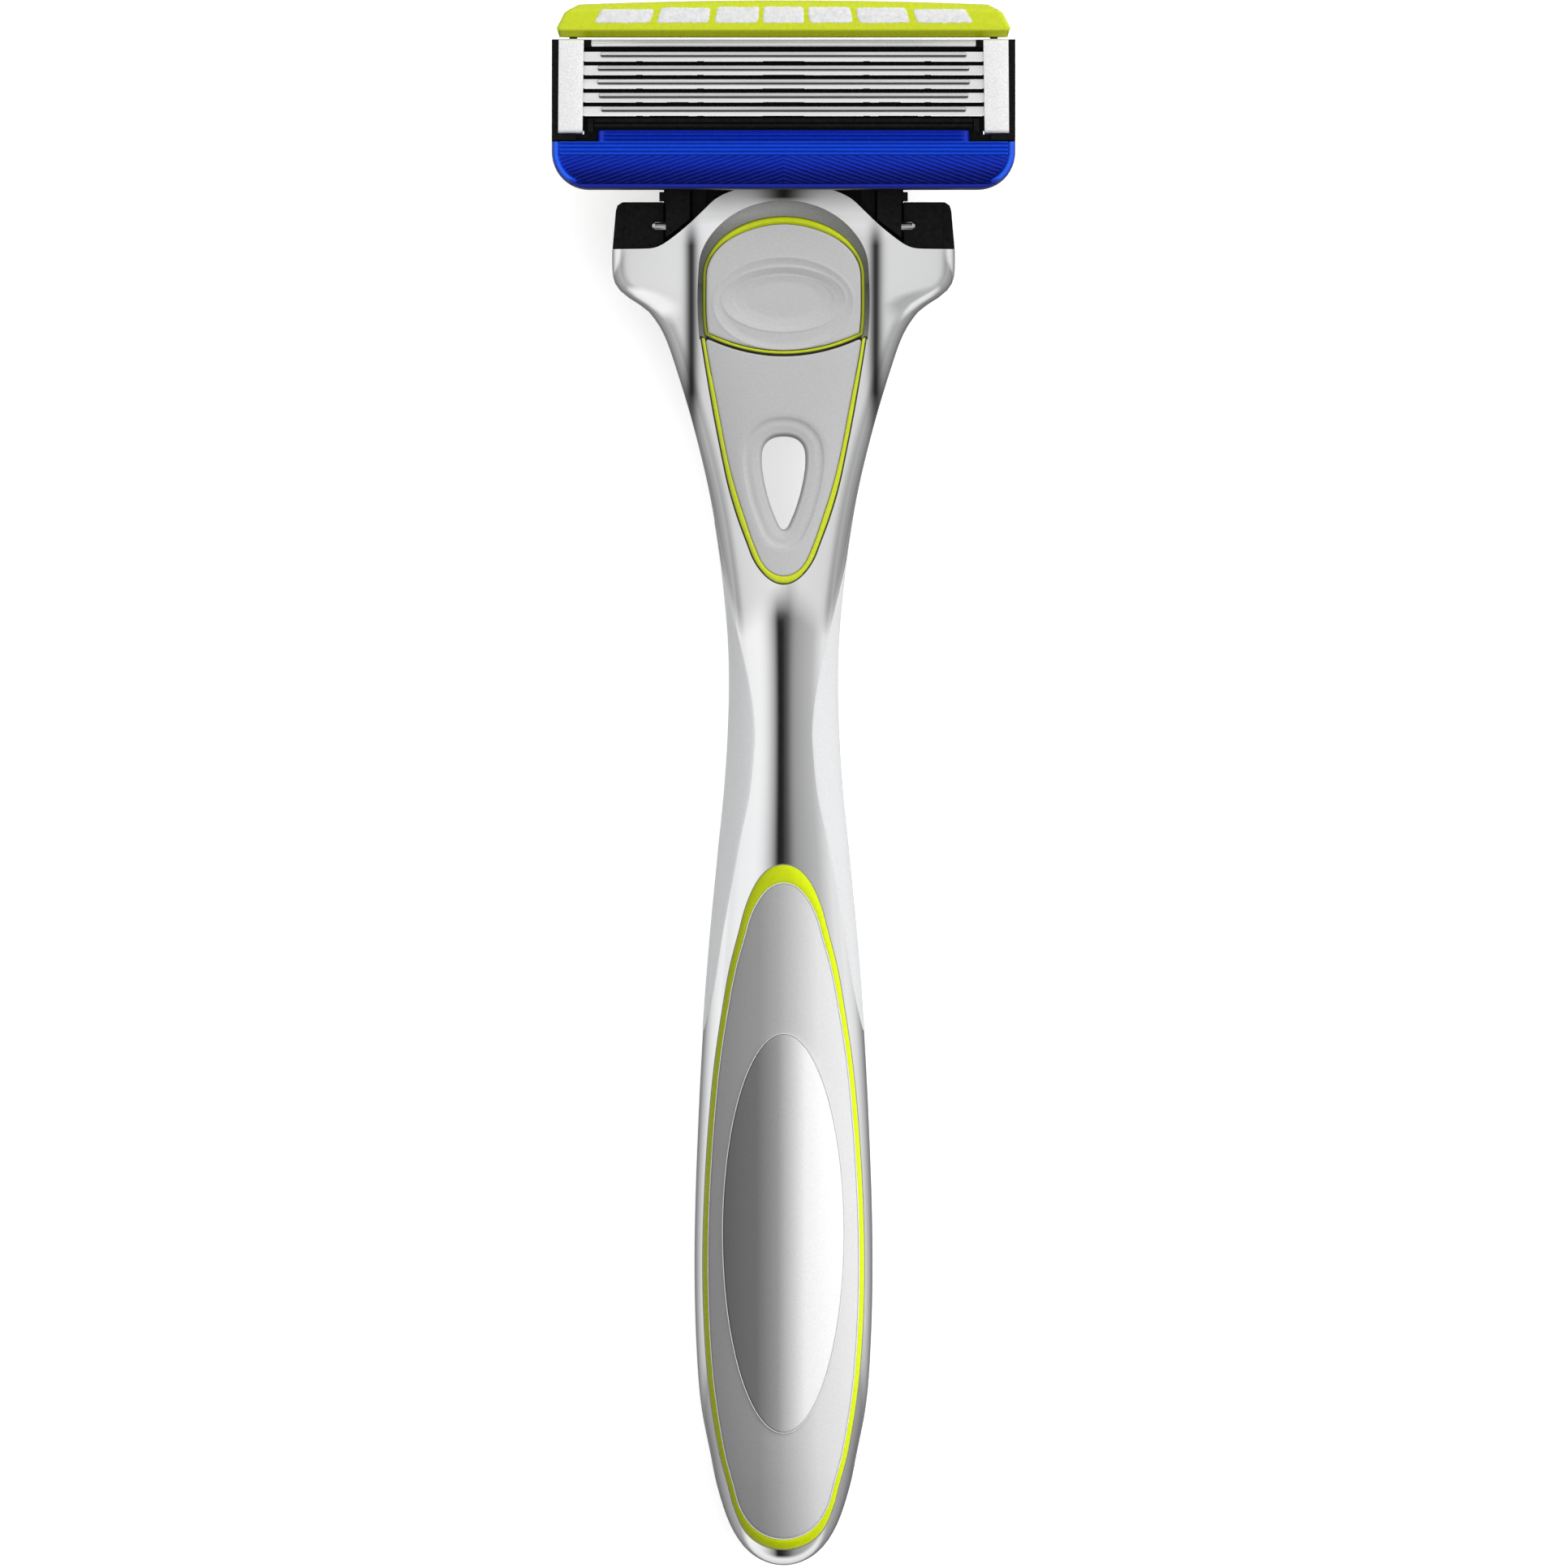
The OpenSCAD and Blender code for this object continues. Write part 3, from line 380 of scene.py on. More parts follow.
# painted light: the badge colour runs from dark on the left to bright on the right
painted_side_light = m.ramp(m.range(sp.outputs["X"], 0.0, 1.0, -0.0056, 0.0056),
               [(0.0, (0.10, 0.10, 0.10)), (0.28, (0.125, 0.125, 0.125)), (0.45, (0.27, 0.27, 0.27)), (0.68, (0.80, 0.80, 0.80)), (1.0, (0.95, 0.95, 0.95))])
mx = m.nt.nodes.new("ShaderNodeMix")
mx.data_type = "RGBA"
mx.blend_type = "MULTIPLY"
mx.inputs["Factor"].default_value = 1.0
m.nt.links.new(grain, mx.inputs["A"])
m.nt.links.new(painted_side_light, mx.inputs["B"])
m.color(mx.outputs["Result"])
m.rough(m.range(m.noise(4000, 6, 0.7), 0.30, 0.48, 0.3, 0.7))
m.bump(m.noise(12000, 6, 0.7), 0.25, 0.00001)
BADGE = m.m

m = Mat("clip_aluminium").set(Metallic=0.35)
two_tone(m, 7000, (0.64, 0.64, 0.64), (0.80, 0.80, 0.80), 8)
m.rough(m.range(m.noise(3500, 6, 0.7), 0.36, 0.52, 0.3, 0.7))
m.bump(m.noise(4200, 7, 0.75), 0.5, 0.00002)
CLIP = m.m

m = Mat("blade_steel").set(Metallic=0.7)
two_tone(m, 900, (0.74, 0.745, 0.75), (0.86, 0.86, 0.865), 6, (0.04, 1, 1))
m.rough(m.range(m.noise(3000, 6, 0.7, (0.03, 1, 1)), 0.14, 0.26, 0.3, 0.7))
m.bump(m.noise(7000, 4, 0.6, (0.02, 1, 1)), 0.12, 0.000008)
BLADE = m.m

m = Mat("guard_bar").set(Metallic=0.6)
two_tone(m, 700, (0.60, 0.60, 0.61), (0.74, 0.74, 0.75), 6, (0.05, 1, 1))
m.rough(m.range(m.noise(2500, 5, 0.7, (0.05, 1, 1)), 0.16, 0.28, 0.3, 0.7))
m.bump(m.noise(6000, 4, 0.6, (0.03, 1, 1)), 0.10, 0.000008)
BARM = m.m

m = Mat("guard_bar_shade").set(Metallic=0.6)
two_tone(m, 900, (0.045, 0.045, 0.047), (0.075, 0.075, 0.078), 6, (0.05, 1, 1))
m.rough(m.range(m.noise(2500, 5, 0.7, (0.05, 1, 1)), 0.25, 0.4, 0.3, 0.7))
BARD = m.m

m = Mat("plain_steel").set(Metallic=1.0)
two_tone(m, 1200, (0.58, 0.585, 0.60), (0.72, 0.725, 0.74), 6)
m.rough(m.range(m.noise(3000, 5), 0.16, 0.30, 0.3, 0.7))
m.bump(m.noise(7000, 4), 0.10, 0.000008)
STEEL = m.m

m = Mat("lime_plastic").set(Coat_Weight=0.25, Coat_Roughness=0.12, IOR=1.5, Specular_IOR_Level=0.5)
two_tone(m, 2200, lin(182, 195, 2), lin(189, 201, 5), 5)
m.rough(m.range(m.noise(2600, 4), 0.22, 0.34, 0.3, 0.7))
m.bump(m.noise(9000, 3), 0.10, 0.000008)
LIME = m.m

def across(mt, base, stops):
    """Colour times a soft ramp across the grip, painted light and shade that vary with X."""
    sp_ = mt.nt.nodes.new("ShaderNodeSeparateXYZ")
    mt.nt.links.new(mt.co.outputs["Object"], sp_.inputs[0])
    rp_ = mt.ramp(mt.range(sp_.outputs["X"], 0.0, 1.0, -0.008, 0.008), [((x_ + 8) / 16, (k_, k_, k_)) for x_, k_ in stops])
    mx_ = mt.nt.nodes.new("ShaderNodeMix")
    mx_.data_type = "RGBA"
    mx_.blend_type = "MULTIPLY"
    mx_.inputs["Factor"].default_value = 1.0
    mt.nt.links.new(base, mx_.inputs["A"])
    mt.nt.links.new(rp_, mx_.inputs["B"])
    return mx_.outputs["Result"]


m = Mat("lime_grip_rim").set(Coat_Weight=0.04, Coat_Roughness=0.2, IOR=1.48, Specular_IOR_Level=0.14)
# painted shade: the rim colour is dark olive on the left and bright lime on the right
m.color(across(m, m.ramp(m.noise(2200, 5), [(0.35, lin(203, 221, 2)), (0.65, lin(209, 227, 5))]),
               [(-7.4, 0.42), (-5.0, 0.44), (-1.0, 0.66), (1.5, 0.86), (5.0, 0.96), (7.4, 1.0)]))
m.rough(m.range(m.noise(2600, 4), 0.22, 0.34, 0.3, 0.7))
m.bump(m.noise(9000, 3), 0.10, 0.000008)
LIME_RIM = m.m

m = Mat("lime_button_rim").set(Coat_Weight=0.2, Coat_Roughness=0.15, IOR=1.5, Specular_IOR_Level=0.4)
# painted shade: the rim colour darkens towards both flanks of the button
m.color(across(m, m.ramp(m.noise(2200, 5), [(0.35, lin(182, 195, 2)), (0.65, lin(189, 201, 5))]),
               [(-7.4, 0.36), (-6.9, 0.42), (-6.3, 0.72), (-5.0, 0.95), (0.0, 1.0), (5.0, 0.98), (6.3, 0.80), (6.9, 0.55), (7.4, 0.48)]))
m.rough(m.range(m.noise(2600, 4), 0.25, 0.38, 0.3, 0.7))
m.bump(m.noise(9000, 3), 0.10, 0.000008)
LIME_BTN = m.m

m = Mat("lime_shade").set(IOR=1.5, Specular_IOR_Level=0.3)
two_tone(m, 2200, lin(88, 96, 6), lin(100, 108, 8), 5)
m.rough(m.range(m.noise(2600, 4), 0.3, 0.45, 0.3, 0.7))
LIME_SHADE = m.m

m = Mat("grey_grip_lower").set(IOR=1.47, Specular_IOR_Level=0.35)
# painted light: the lower pad is dark on the left and brightens to the right
m.color(across(m, m.ramp(m.noise(5200, 6), [(0.35, lin(204, 204, 205)), (0.65, lin(210, 210, 211))]),
               [(-7.4, 0.37), (-2.2, 0.38), (-0.5, 0.50), (1.5, 0.74), (3.2, 0.92), (7.4, 1.0)]))
m.rough(m.range(m.noise(3000, 5), 0.46, 0.60, 0.3, 0.7))
m.bump(m.noise(11000, 4, 0.7), 0.25, 0.00001)
GREY_LOW = m.m

m = Mat("grey_grip").set(IOR=1.47, Specular_IOR_Level=0.35)
two_tone(m, 5200, lin(172, 172, 173), lin(179, 179, 180), 6)
m.rough(m.range(m.noise(3000, 5), 0.46, 0.60, 0.3, 0.7))
m.bump(m.noise(11000, 4, 0.7), 0.25, 0.00001)
GREY = m.m

m = Mat("pale_grip").set(IOR=1.48, Specular_IOR_Level=0.4)
two_tone(m, 4200, lin(196, 197, 198), lin(202, 203, 204), 6)
m.rough(m.range(m.noise(2600, 5), 0.34, 0.46, 0.3, 0.7))
m.bump(m.noise(10000, 4, 0.7), 0.15, 0.000008)
PALE = m.m

m = Mat("black_plastic").set(IOR=1.5, Specular_IOR_Level=0.18)
two_tone(m, 2500, (0.0022, 0.0022, 0.0024), (0.0045, 0.0045, 0.005), 5)
m.rough(m.range(m.noise(2200, 5), 0.22, 0.36, 0.3, 0.7))
m.bump(m.noise(8000, 4), 0.12, 0.00001)
BLACK = m.m

m = Mat("dark_seam").set(IOR=1.45)
two_tone(m, 900, (0.012, 0.013, 0.010), (0.03, 0.032, 0.02), 4)
m.rough(m.range(m.noise(2000, 4), 0.5, 0.7, 0.3, 0.7))
SEAM = m.m

# painted highlight: pale rim lines, with painted shade darker on the left
m = Mat("pale_edge_highlight").set(IOR=1.48, Specular_IOR_Level=0.3)
m.color(across(m, m.ramp(m.noise(2600, 5), [(0.35, lin(214, 215, 217)), (0.65, lin(226, 227, 229))]), [(-7.4, 0.80), (0.0, 0.95), (7.4, 1.0)]))
m.rough(m.range(m.noise(2600, 4), 0.3, 0.42, 0.3, 0.7))
EDGE_HIGHLIGHT = m.m

m = Mat("soft_seam").set(IOR=1.45, Specular_IOR_Level=0.2)
two_tone(m, 2600, lin(112, 113, 100), lin(128, 129, 114), 5)
m.rough(m.range(m.noise(2600, 4), 0.4, 0.55, 0.3, 0.7))
SEAM_LOW = m.m

m = Mat("blue_elastomer").set(IOR=1.48, Specular_IOR_Level=0.2, Coat_Weight=0.05, Coat_Roughness=0.2)
sp = m.nt.nodes.new("ShaderNodeSeparateXYZ")
m.nt.links.new(m.co.outputs["Object"], sp.inputs[0])
# painted shade and highlight: the blue goes dark in the low grooves and bright on the ridge tops, by height
painted_groove_shade = m.ramp(m.range(sp.outputs["Z"], 0.0, 1.0, 0.0189, 0.0196),
              [(0.0, lin(0, 6, 58)), (0.30, lin(0, 17, 104)), (0.55, lin(2, 33, 152)), (0.8, lin(6, 46, 174)), (1.0, lin(26, 88, 222))])
mx = m.nt.nodes.new("ShaderNodeMix")
mx.data_type = "RGBA"
mx.blend_type = "MULTIPLY"
mx.inputs["Factor"].default_value = 1.0
m.nt.links.new(painted_groove_shade, mx.inputs["A"])
m.nt.links.new(m.ramp(m.noise(2500, 6), [(0.35, (0.88, 0.88, 0.88)), (0.65, (1, 1, 1))]), mx.inputs["B"])
m.color(mx.outputs["Result"])
m.rough(m.range(m.noise(2500, 5), 0.28, 0.42, 0.3, 0.7))
m.bump(m.noise(9000, 4), 0.2, 0.00001)
BLUE = m.m

m = Mat("white_gel").set(IOR=1.42, Subsurface_Weight=0.15, Subsurface_Scale=0.0006)
m.color(m.ramp(m.noise(2600, 8, 0.8), [(0.30, (0.50, 0.50, 0.50)), (0.5, (0.66, 0.66, 0.66)), (0.7, (0.80, 0.80, 0.80))]))
m.rough(m.range(m.noise(2500, 5), 0.45, 0.75, 0.3, 0.7))
m.bump(m.noise(3200, 8, 0.8), 0.9, 0.00006)
GEL = m.m


def paint(node, mat):
    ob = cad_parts[node]
    for i in range(max(1, len(ob.material_slots))):
        if not ob.material_slots:
            ob.data.materials.append(mat)
        ob.material_slots[i].material = mat
    return ob


def soften(node, width=0.06, seg=2, angle=35):
    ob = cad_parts[node]
    b = ob.modifiers.new("edge", "BEVEL")
    b.width = width * MM
    b.segments = seg
    b.limit_method = "ANGLE"
    b.angle_limit = math.radians(angle)
    b.harden_normals = True
    return ob


# ------------------------------------------------------------------ handle shell
def handle_shell():
    ys = np.concatenate([-62.8 - 9.0 * np.sin(np.radians(np.array([88.5, 86, 83, 79, 75, 70, 65, 60, 54, 48, 42, 36, 30, 24, 18, 12, 6]))),
                         np.arange(-62.8, 56.01, 0.66)])
    ns = 144
    # even spacing round the section
    out = []
    for y in ys:
        w, zt, zb, n = float(hwid(y)), float(htop(y)), float(hbot(y)), float(spl(PW_T, y))
        a = np.linspace(0, 2 * PI, 721)
        cx, sz = np.cos(a), np.sin(a)
        p = np.stack([w * np.sign(cx) * np.abs(cx) ** (2 / n), (zt + zb) / 2 + (zt - zb) / 2 * np.sign(sz) * np.abs(sz) ** (2 / n)], 1)
        d = np.r_[0, np.cumsum(np.hypot(*np.diff(p, axis=0).T))]
        s = np.linspace(0, d[-1], ns + 1)[:-1]
        out.append(np.stack([np.interp(s, d, p[:, 0]), np.full(ns, y), np.interp(s, d, p[:, 1])], 1))
    v, f = sweep_open(np.array(out))
    return make("handle_shell", v, f, CHROME, None, angle=None)


def prism(name, poly, z0, z1):
    n = len(poly)
    v = [(x, y, z0) for x, y in poly] + [(x, y, z1) for x, y in poly]
    f = [tuple(range(n - 1, -1, -1)), tuple(range(n, 2 * n))] + [(i, (i + 1) % n, n + (i + 1) % n, n + i) for i in range(n)]
    return make(name, v, f, CHROME, None, smooth=False)


def cut(ob, tool, op="DIFFERENCE"):
    md = ob.modifiers.new("cut", "BOOLEAN")
    md.operation = op
    md.solver = "EXACT"
    md.object = tool
    dg = bpy.context.evaluated_depsgraph_get()
    me = bpy.data.meshes.new_from_object(ob.evaluated_get(dg))
    ob.modifiers.clear()
    old = ob.data
    ob.data = me
    bpy.data.meshes.remove(old)
    td = tool.data
    bpy.data.objects.remove(tool)
    bpy.data.meshes.remove(td)


def foot_y(x, d=0.0):
    return 39.5 - d + 1.8 * (np.asarray(x) / 7.4) ** 2


FRONT = [(12.4, 49.2), (11.6, 49.35), (10.9, 49.7), (9.8, 50.5), (8.6, 51.5), (7.5, 52.55), (6.4, 53.6), (5.7, 54.05), (4.9, 54.4), (2.5, 55.1), (0, 55.3)]


def front_curve(n=80):
    """Front edge of the shoulders and hood, from left to right."""
    right = np.array(FRONT[::-1])
    xs = np.linspace(-15.9, 15.9, n)
    ax = np.abs(xs)
    t = [(p[0], p[1]) for p in FRONT[::-1]] + [(16.5, 49.2)]
    return np.stack([xs, spl(t, ax)], 1)


def teardrop(r=2.0, n=96):
    # flat-topped drop: wide round top, straight flanks, small round tip
    pts = []
    top = [(math.cos(a), math.sin(a)) for a in np.linspace(0.0, PI, 40)]
    for c, s in top:
        pts.append((r * math.copysign(abs(c) ** 0.8, c), 30.1 + 1.95 * abs(s) ** 0.85))
    tip = [(0.42 * math.cos(a), 23.85 + 0.42 * math.sin(a)) for a in np.linspace(PI + 0.25, 2 * PI - 0.25, 14)]
    ctrl_l = [(-r * 0.99, 29.2), (-r * 0.90, 28.0), (-r * 0.74, 26.6), (-r * 0.52, 25.2)]
    ctrl_r = [(-x, y) for x, y in ctrl_l[::-1]]
    p = np.array(pts + ctrl_l + tip + ctrl_r)
    p = resample(p, 240, True)
    k = np.array([1, 2, 3, 2, 1]) / 9.0
    for _ in range(6):
        p = sum(np.roll(p, s, 0) * w for s, w in zip((-2, -1, 0, 1, 2), k))
    return resample(p, n, True)


DROP = teardrop()


def build_handle():
    ob = handle_shell()
    fc = front_curve()
    cut(ob, prism("t1", [(-30, 70)] + [(float(x), float(y)) for x, y in fc[:: 1]] + [(30, 70)][:1], -5, 30))
    # well of the button
    t = np.linspace(0, PI / 2, 40)
    ys = 41.0 + 12.6 * np.sin(t)
    w = spl(WELL_W, ys) * cap(ys, 38, 53.6, 0, 6)
    right = np.stack([w, ys], 1)
    xs = np.linspace(-7.6, 7.6, 33)
    low = np.stack([xs, foot_y(xs, 0.15)], 1)
    poly = np.concatenate([low, right, (right * [-1, 1])[::-1][1:]])
    cut(ob, prism("t2", [tuple(map(float, p)) for p in poly], 12.1, 30))
    cut(ob, prism("t3", [tuple(map(float, p)) for p in inset(DROP, -0.06)], -5, 30))
    # front socket
    def box(name, a, b):
        return prism(name, [(a[0], a[1]), (b[0], a[1]), (b[0], b[1]), (a[0], b[1])], a[2], b[2])
    cut(ob, box("t4", (-7.13, 46, 6.97), (7.13, 60, 11.53)))
    cut(ob, box("t5", (-13.03, 46.1, 9.37), (13.03, 49.66, 12.03)))
    cut(ob, box("t6", (7.07, 49.22, 8.97), (17, 60, 12.43)))
    cut(ob, box("t6b", (-17, 49.22, 8.97), (-7.07, 60, 12.43)))
    xs_ = np.linspace(7.05, -7.05, 60)
    rec_out = np.concatenate([neck_path(NPAD_W, 19.2, 3, 41.0, 200, 7)[:, :], np.stack([xs_, foot_y(xs_, -0.3)], 1)])
    rec = polar_panel("t7", inset(resample(rec_out, 400, True), -0.02), NECK_EYE, np.array([0.0, 28.6]), lambda X, Y, a, b: 12.0 + 0 * X, 1.3, CHROME, None, 240, 24, hole=False)
    cut(ob, rec)
    cut(ob, box("t8", (7.0, 40.9, 12.15), (7.72, 41.6, 30)))
    cut(ob, box("t9", (-7.72, 40.9, 12.15), (-7.0, 41.6, 30)))
    me = ob.data
    me.shade_smooth()
    me.set_sharp_from_angle(angle=math.radians(32))
    ob.name = "handle_shell"
    return ob


# ------------------------------------------------------------------ trim strips and pads
def strip_ring(name, outer, inner, prof, mat, body, zf, closed=True, shade=None):
    """Raised strip between two outlines. prof is (across 0..1, height, drop) and the underside is closed."""
    sec = []
    for v, h in prof:
        p = outer + (inner - outer) * v
        sec.append(np.column_stack([p, zf(p[:, 0], p[:, 1]) + h]))
    sec = np.stack(sec, 1)
    v, f = (sweep_closed if closed else sweep_open)(sec)
    ob = make(name, v, f, mat, body)
    if shade:
        # the steep flanks of the strip are in shade
        ob.data.materials.append(shade[0])
        for p in ob.data.polygons:
            if p.normal.z < shade[1]:
                p.material_index = 1
    return ob


RIM = [(0.0, -0.8), (0.0, -0.02), (0.03, 0.05), (0.12, 0.12), (0.3, 0.17), (0.5, 0.185), (0.7, 0.17), (0.88, 0.12), (0.97, 0.05), (1.0, -0.02), (1.0, -0.8)]


def grid_panel(name, wt, y0, y1, la, lb, hfun, depth, mat, body, ny=180, nx=48, gap=0.0):
    t = np.linspace(0, PI, ny)
    ys = y0 + gap + (y1 - y0 - 2 * gap) * (1 - np.cos(t)) / 2
    w = np.maximum(spl(wt, ys) * cap(ys, y0, y1, la, lb) - gap, 0.02)
    u = np.sin(np.linspace(-PI / 2, PI / 2, nx))
    X = w[:, None] * u[None, :]
    Y = np.repeat(ys[:, None], nx, 1)
    out = closed_outline(wt, y0, y1, la, lb, 240)
    D = dist_to(out, X, Y) - gap
    Z = ztop(X, Y) + hfun(X, Y, np.maximum(D, 0))
    P = np.stack([X, Y, Z], 2)
    Q = np.stack([X, Y, ztop(X, Y) - depth], 2)
    v, f = slab_from_grid(P, Q)
    return make(name, v, f, mat, body, angle=50)


# lower grip
tray_o = closed_outline(TRAY_W, -70.3, -7.3, 5, 5, 420)
gpad_o = closed_outline(GPAD_W, -69.35, -8.95, 4, 4, 420)


def match(outer, inner_src):
    """For each outer point the nearest point of the inner outline, smoothed so that the strip doesn't fold."""
    d = ((outer[:, None, :] - inner_src[None]) ** 2).sum(2)
    q = inner_src[d.argmin(1)]
    k = [0.25, 0.5, 0.25]
    for _ in range(3):
        q = np.roll(q, 1, 0) * k[0] + q * k[1] + np.roll(q, -1, 0) * k[2]
    return q


tray = strip_ring("grip_tray_rim", tray_o, match(tray_o, closed_outline(GPAD_W, -69.35, -8.95, 4, 4, 1600)), RIM, LIME_RIM, "handle", ztop)
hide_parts("grip_tray")
seam = strip_ring("grip_tray_seam", inset(tray_o, -0.06), inset(tray_o, 0.05), [(0, -0.3), (0, 0.015), (0.5, 0.02), (1, 0.015), (1, -0.3)], SEAM_LOW, "handle", ztop)

pad = grid_panel("grip_pad_soft", GPAD_W, -69.35, -8.95, 4, 4,
                 lambda X, Y, D: 0.06 + round_over(D, 0.22, 0.16), 0.7, GREY_LOW, "handle", 220, 56, 0.03)
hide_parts("grip_pad")


def badge_h(X, Y, D):
    return 0.24 + round_over(D, 0.18, 0.18)


BADGE_W = [(-59.5, 5.6), (-22.8, 5.6)]
badge = grid_panel("badge_oval", BADGE_W, -59.5, -22.8, 18.35, 18.35, badge_h, 0.3, BADGE, "handle", 160, 60, 0.02)
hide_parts("badge_plate")

# the pale strips round the badge and the grip pad are painted highlights on their rims
b_o = closed_outline(BADGE_W, -59.5, -22.8, 18.35, 18.35, 320)
badge_edge = strip_ring("badge_edge", inset(b_o, -0.05), inset(b_o, 0.03), [(0, -0.2), (0, 0.20), (0.4, 0.27), (1, 0.25), (1, -0.2)], EDGE_HIGHLIGHT, "handle", ztop)
g_o = closed_outline(GPAD_W, -69.35, -8.95, 4, 4, 420)
pad_edge = strip_ring("grip_pad_edge", inset(g_o, -0.02), inset(g_o, 0.07), [(0, -0.5), (0, 0.10), (0.4, 0.13), (1, 0.10), (1, -0.5)], EDGE_HIGHLIGHT, "handle", ztop)

# neck shield
ny_ = 41.3


def neck_path(wt, y0, la, ytop, n, top_x):
    t = np.linspace(0, PI / 2, n)
    ys = y0 + (ytop - y0) * (1 - np.cos(t))
    w = spl(wt, ys) * cap(ys, y0, 99, la, 0)
    right = np.stack([w, ys], 1)
    left = (right * [-1, 1])[::-1]
    return np.concatenate([left, right[1:]])


nt_o = resample(neck_path(NECK_W, 18.5, 3, 41.05, 200, 7.5), 300, False)
np_src = resample(neck_path(NPAD_W, 19.2, 3, 40.98, 400, 7.1), 1600, False)


def match_open(outer, src):
    d = ((outer[:, None, :] - src[None]) ** 2).sum(2)
    q = src[d.argmin(1)].copy()
    q[0], q[-1] = src[0], src[-1]
    for _ in range(3):
        q[1:-1] = q[:-2] * 0.25 + q[1:-1] * 0.5 + q[2:] * 0.25
    return q


nrim = strip_ring("neck_tray_rim", nt_o, match_open(nt_o, np_src), RIM, LIME, "handle", ztop, closed=False, shade=(LIME_SHADE, 0.5))
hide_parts("neck_tray")
nseam = strip_ring("neck_tray_seam", inset(nt_o, -0.10, False), inset(nt_o, 0.05, False), [(0, -0.3), (0, 0.015), (0.5, 0.02), (1, 0.015), (1, -0.3)],
                   SEAM, "handle", ztop, closed=False)


def star(outline, c, n):
    """Outline as a radius for each of n even angles about c."""
    d = outline - c
    a = np.arctan2(d[:, 1], d[:, 0])
    r = np.hypot(d[:, 0], d[:, 1])
    o = np.argsort(a)
    a, r = a[o], r[o]
    th = np.linspace(-PI, PI, n, endpoint=False)
    rr = np.interp(th, np.r_[a[-1] - 2 * PI, a, a[0] + 2 * PI], np.r_[r[-1], r, r[0]])
    return th, rr


def polar_panel(name, outer, inner, c, hfun, depth, mat, body, ns=320, nt=60, zf=ztop, flat_bottom=None, hole=True):
    """Panel between an outer outline and an inner one, both star-shaped about c."""
    th, ro = star(outer, c, ns)
    _, ri = star(inner, c, ns)
    t = (1 - np.cos(np.linspace(0, PI, nt))) / 2
    R = ri[:, None] + (ro - ri)[:, None] * t[None, :]
    X = c[0] + R * np.cos(th)[:, None]
    Y = c[1] + R * np.sin(th)[:, None]
    Do = dist_to(outer, X, Y)
    Di = dist_to(inner, X, Y)
    Z = zf(X, Y) + hfun(X, Y, Do, Di)
    top = np.stack([X, Y, Z], 2)
    bot = np.stack([X, Y, (zf(X, Y) - depth) if flat_bottom is None else np.full_like(X, flat_bottom)], 2)
    nv = ns * nt
    f = grid_faces(ns, nt, True, False) + [tuple(reversed(q)) for q in grid_faces(ns, nt, True, False, nv)]
    for i in range(ns):
        k = (i + 1) % ns
        f.append((i * nt + nt - 1, k * nt + nt - 1, nv + k * nt + nt - 1, nv + i * nt + nt - 1))
        if hole:
            f.append((i * nt, nv + i * nt, nv + k * nt, k * nt))
    v = np.concatenate([top.reshape(-1, 3), bot.reshape(-1, 3)])
    if not hole:
        # close the middle with single points
        a, b = len(v), len(v) + 1
        v = np.concatenate([v, [[c[0], c[1], float(Z[:, 0].mean())]], [[c[0], c[1], float(bot[:, 0, 2].mean())]]])
        for i in range(ns):
            k = (i + 1) % ns
            f.append((a, i * nt, k * nt))
            f.append((b, nv + k * nt, nv + i * nt))
    return make(name, v, f, mat, body, angle=60)


xs = np.linspace(6.95, -6.95, 60)
npad_out = np.concatenate([neck_path(NPAD_W, 19.2, 3, 40.80, 200, 7)[:, :], np.stack([xs, foot_y(xs, 0.16)], 1)])
npad_out = resample(npad_out, 500, True)


NECK_EYE = np.array([0.0, 28.6]) + 0.05 * np.stack([np.cos(np.linspace(-PI, PI, 60, endpoint=False)), np.sin(np.linspace(-PI, PI, 60, endpoint=False))], 1)


def neck_h(X, Y, Do, Di):
    h = 0.05 + round_over(Do, 0.2, 0.14)
    # dish round the hole: a soft step at 2.1, a faint line at 1.2, then a rounded lip down into the hole
    h -= 0.26 * (1 - smooth(1.25, 2.15, Di))
    h += 0.05 * np.exp(-((Di - 1.75) / 0.14) ** 2)
    h -= 0.10 * (1 - smooth(0.35, 1.0, Di))
    u = np.clip(1 - Di / 0.42, 0, 1)
    h -= 0.9 * (1 - np.sqrt(np.maximum(0, 1 - u**2)))
    return h


npad = polar_panel("neck_pad_soft", npad_out, DROP, np.array([0.0, 28.6]), neck_h, 1.35, GREY, "handle", 400, 90)
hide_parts("neck_pad")

shell = build_handle()
shell.data.materials.clear()
shell.data.materials.append(CHROME)
shell.data.materials.append(WELL)
for p in shell.data.polygons:
    c = p.center
    if abs(c.z - 0.0121) < 1e-6 and p.normal.z > 0.9 or (p.normal.z > 0.9 and abs(c.z * 1000 - 12.1) < 0.02):
        p.material_index = 1
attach(shell, "handle")
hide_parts("handle_frame")


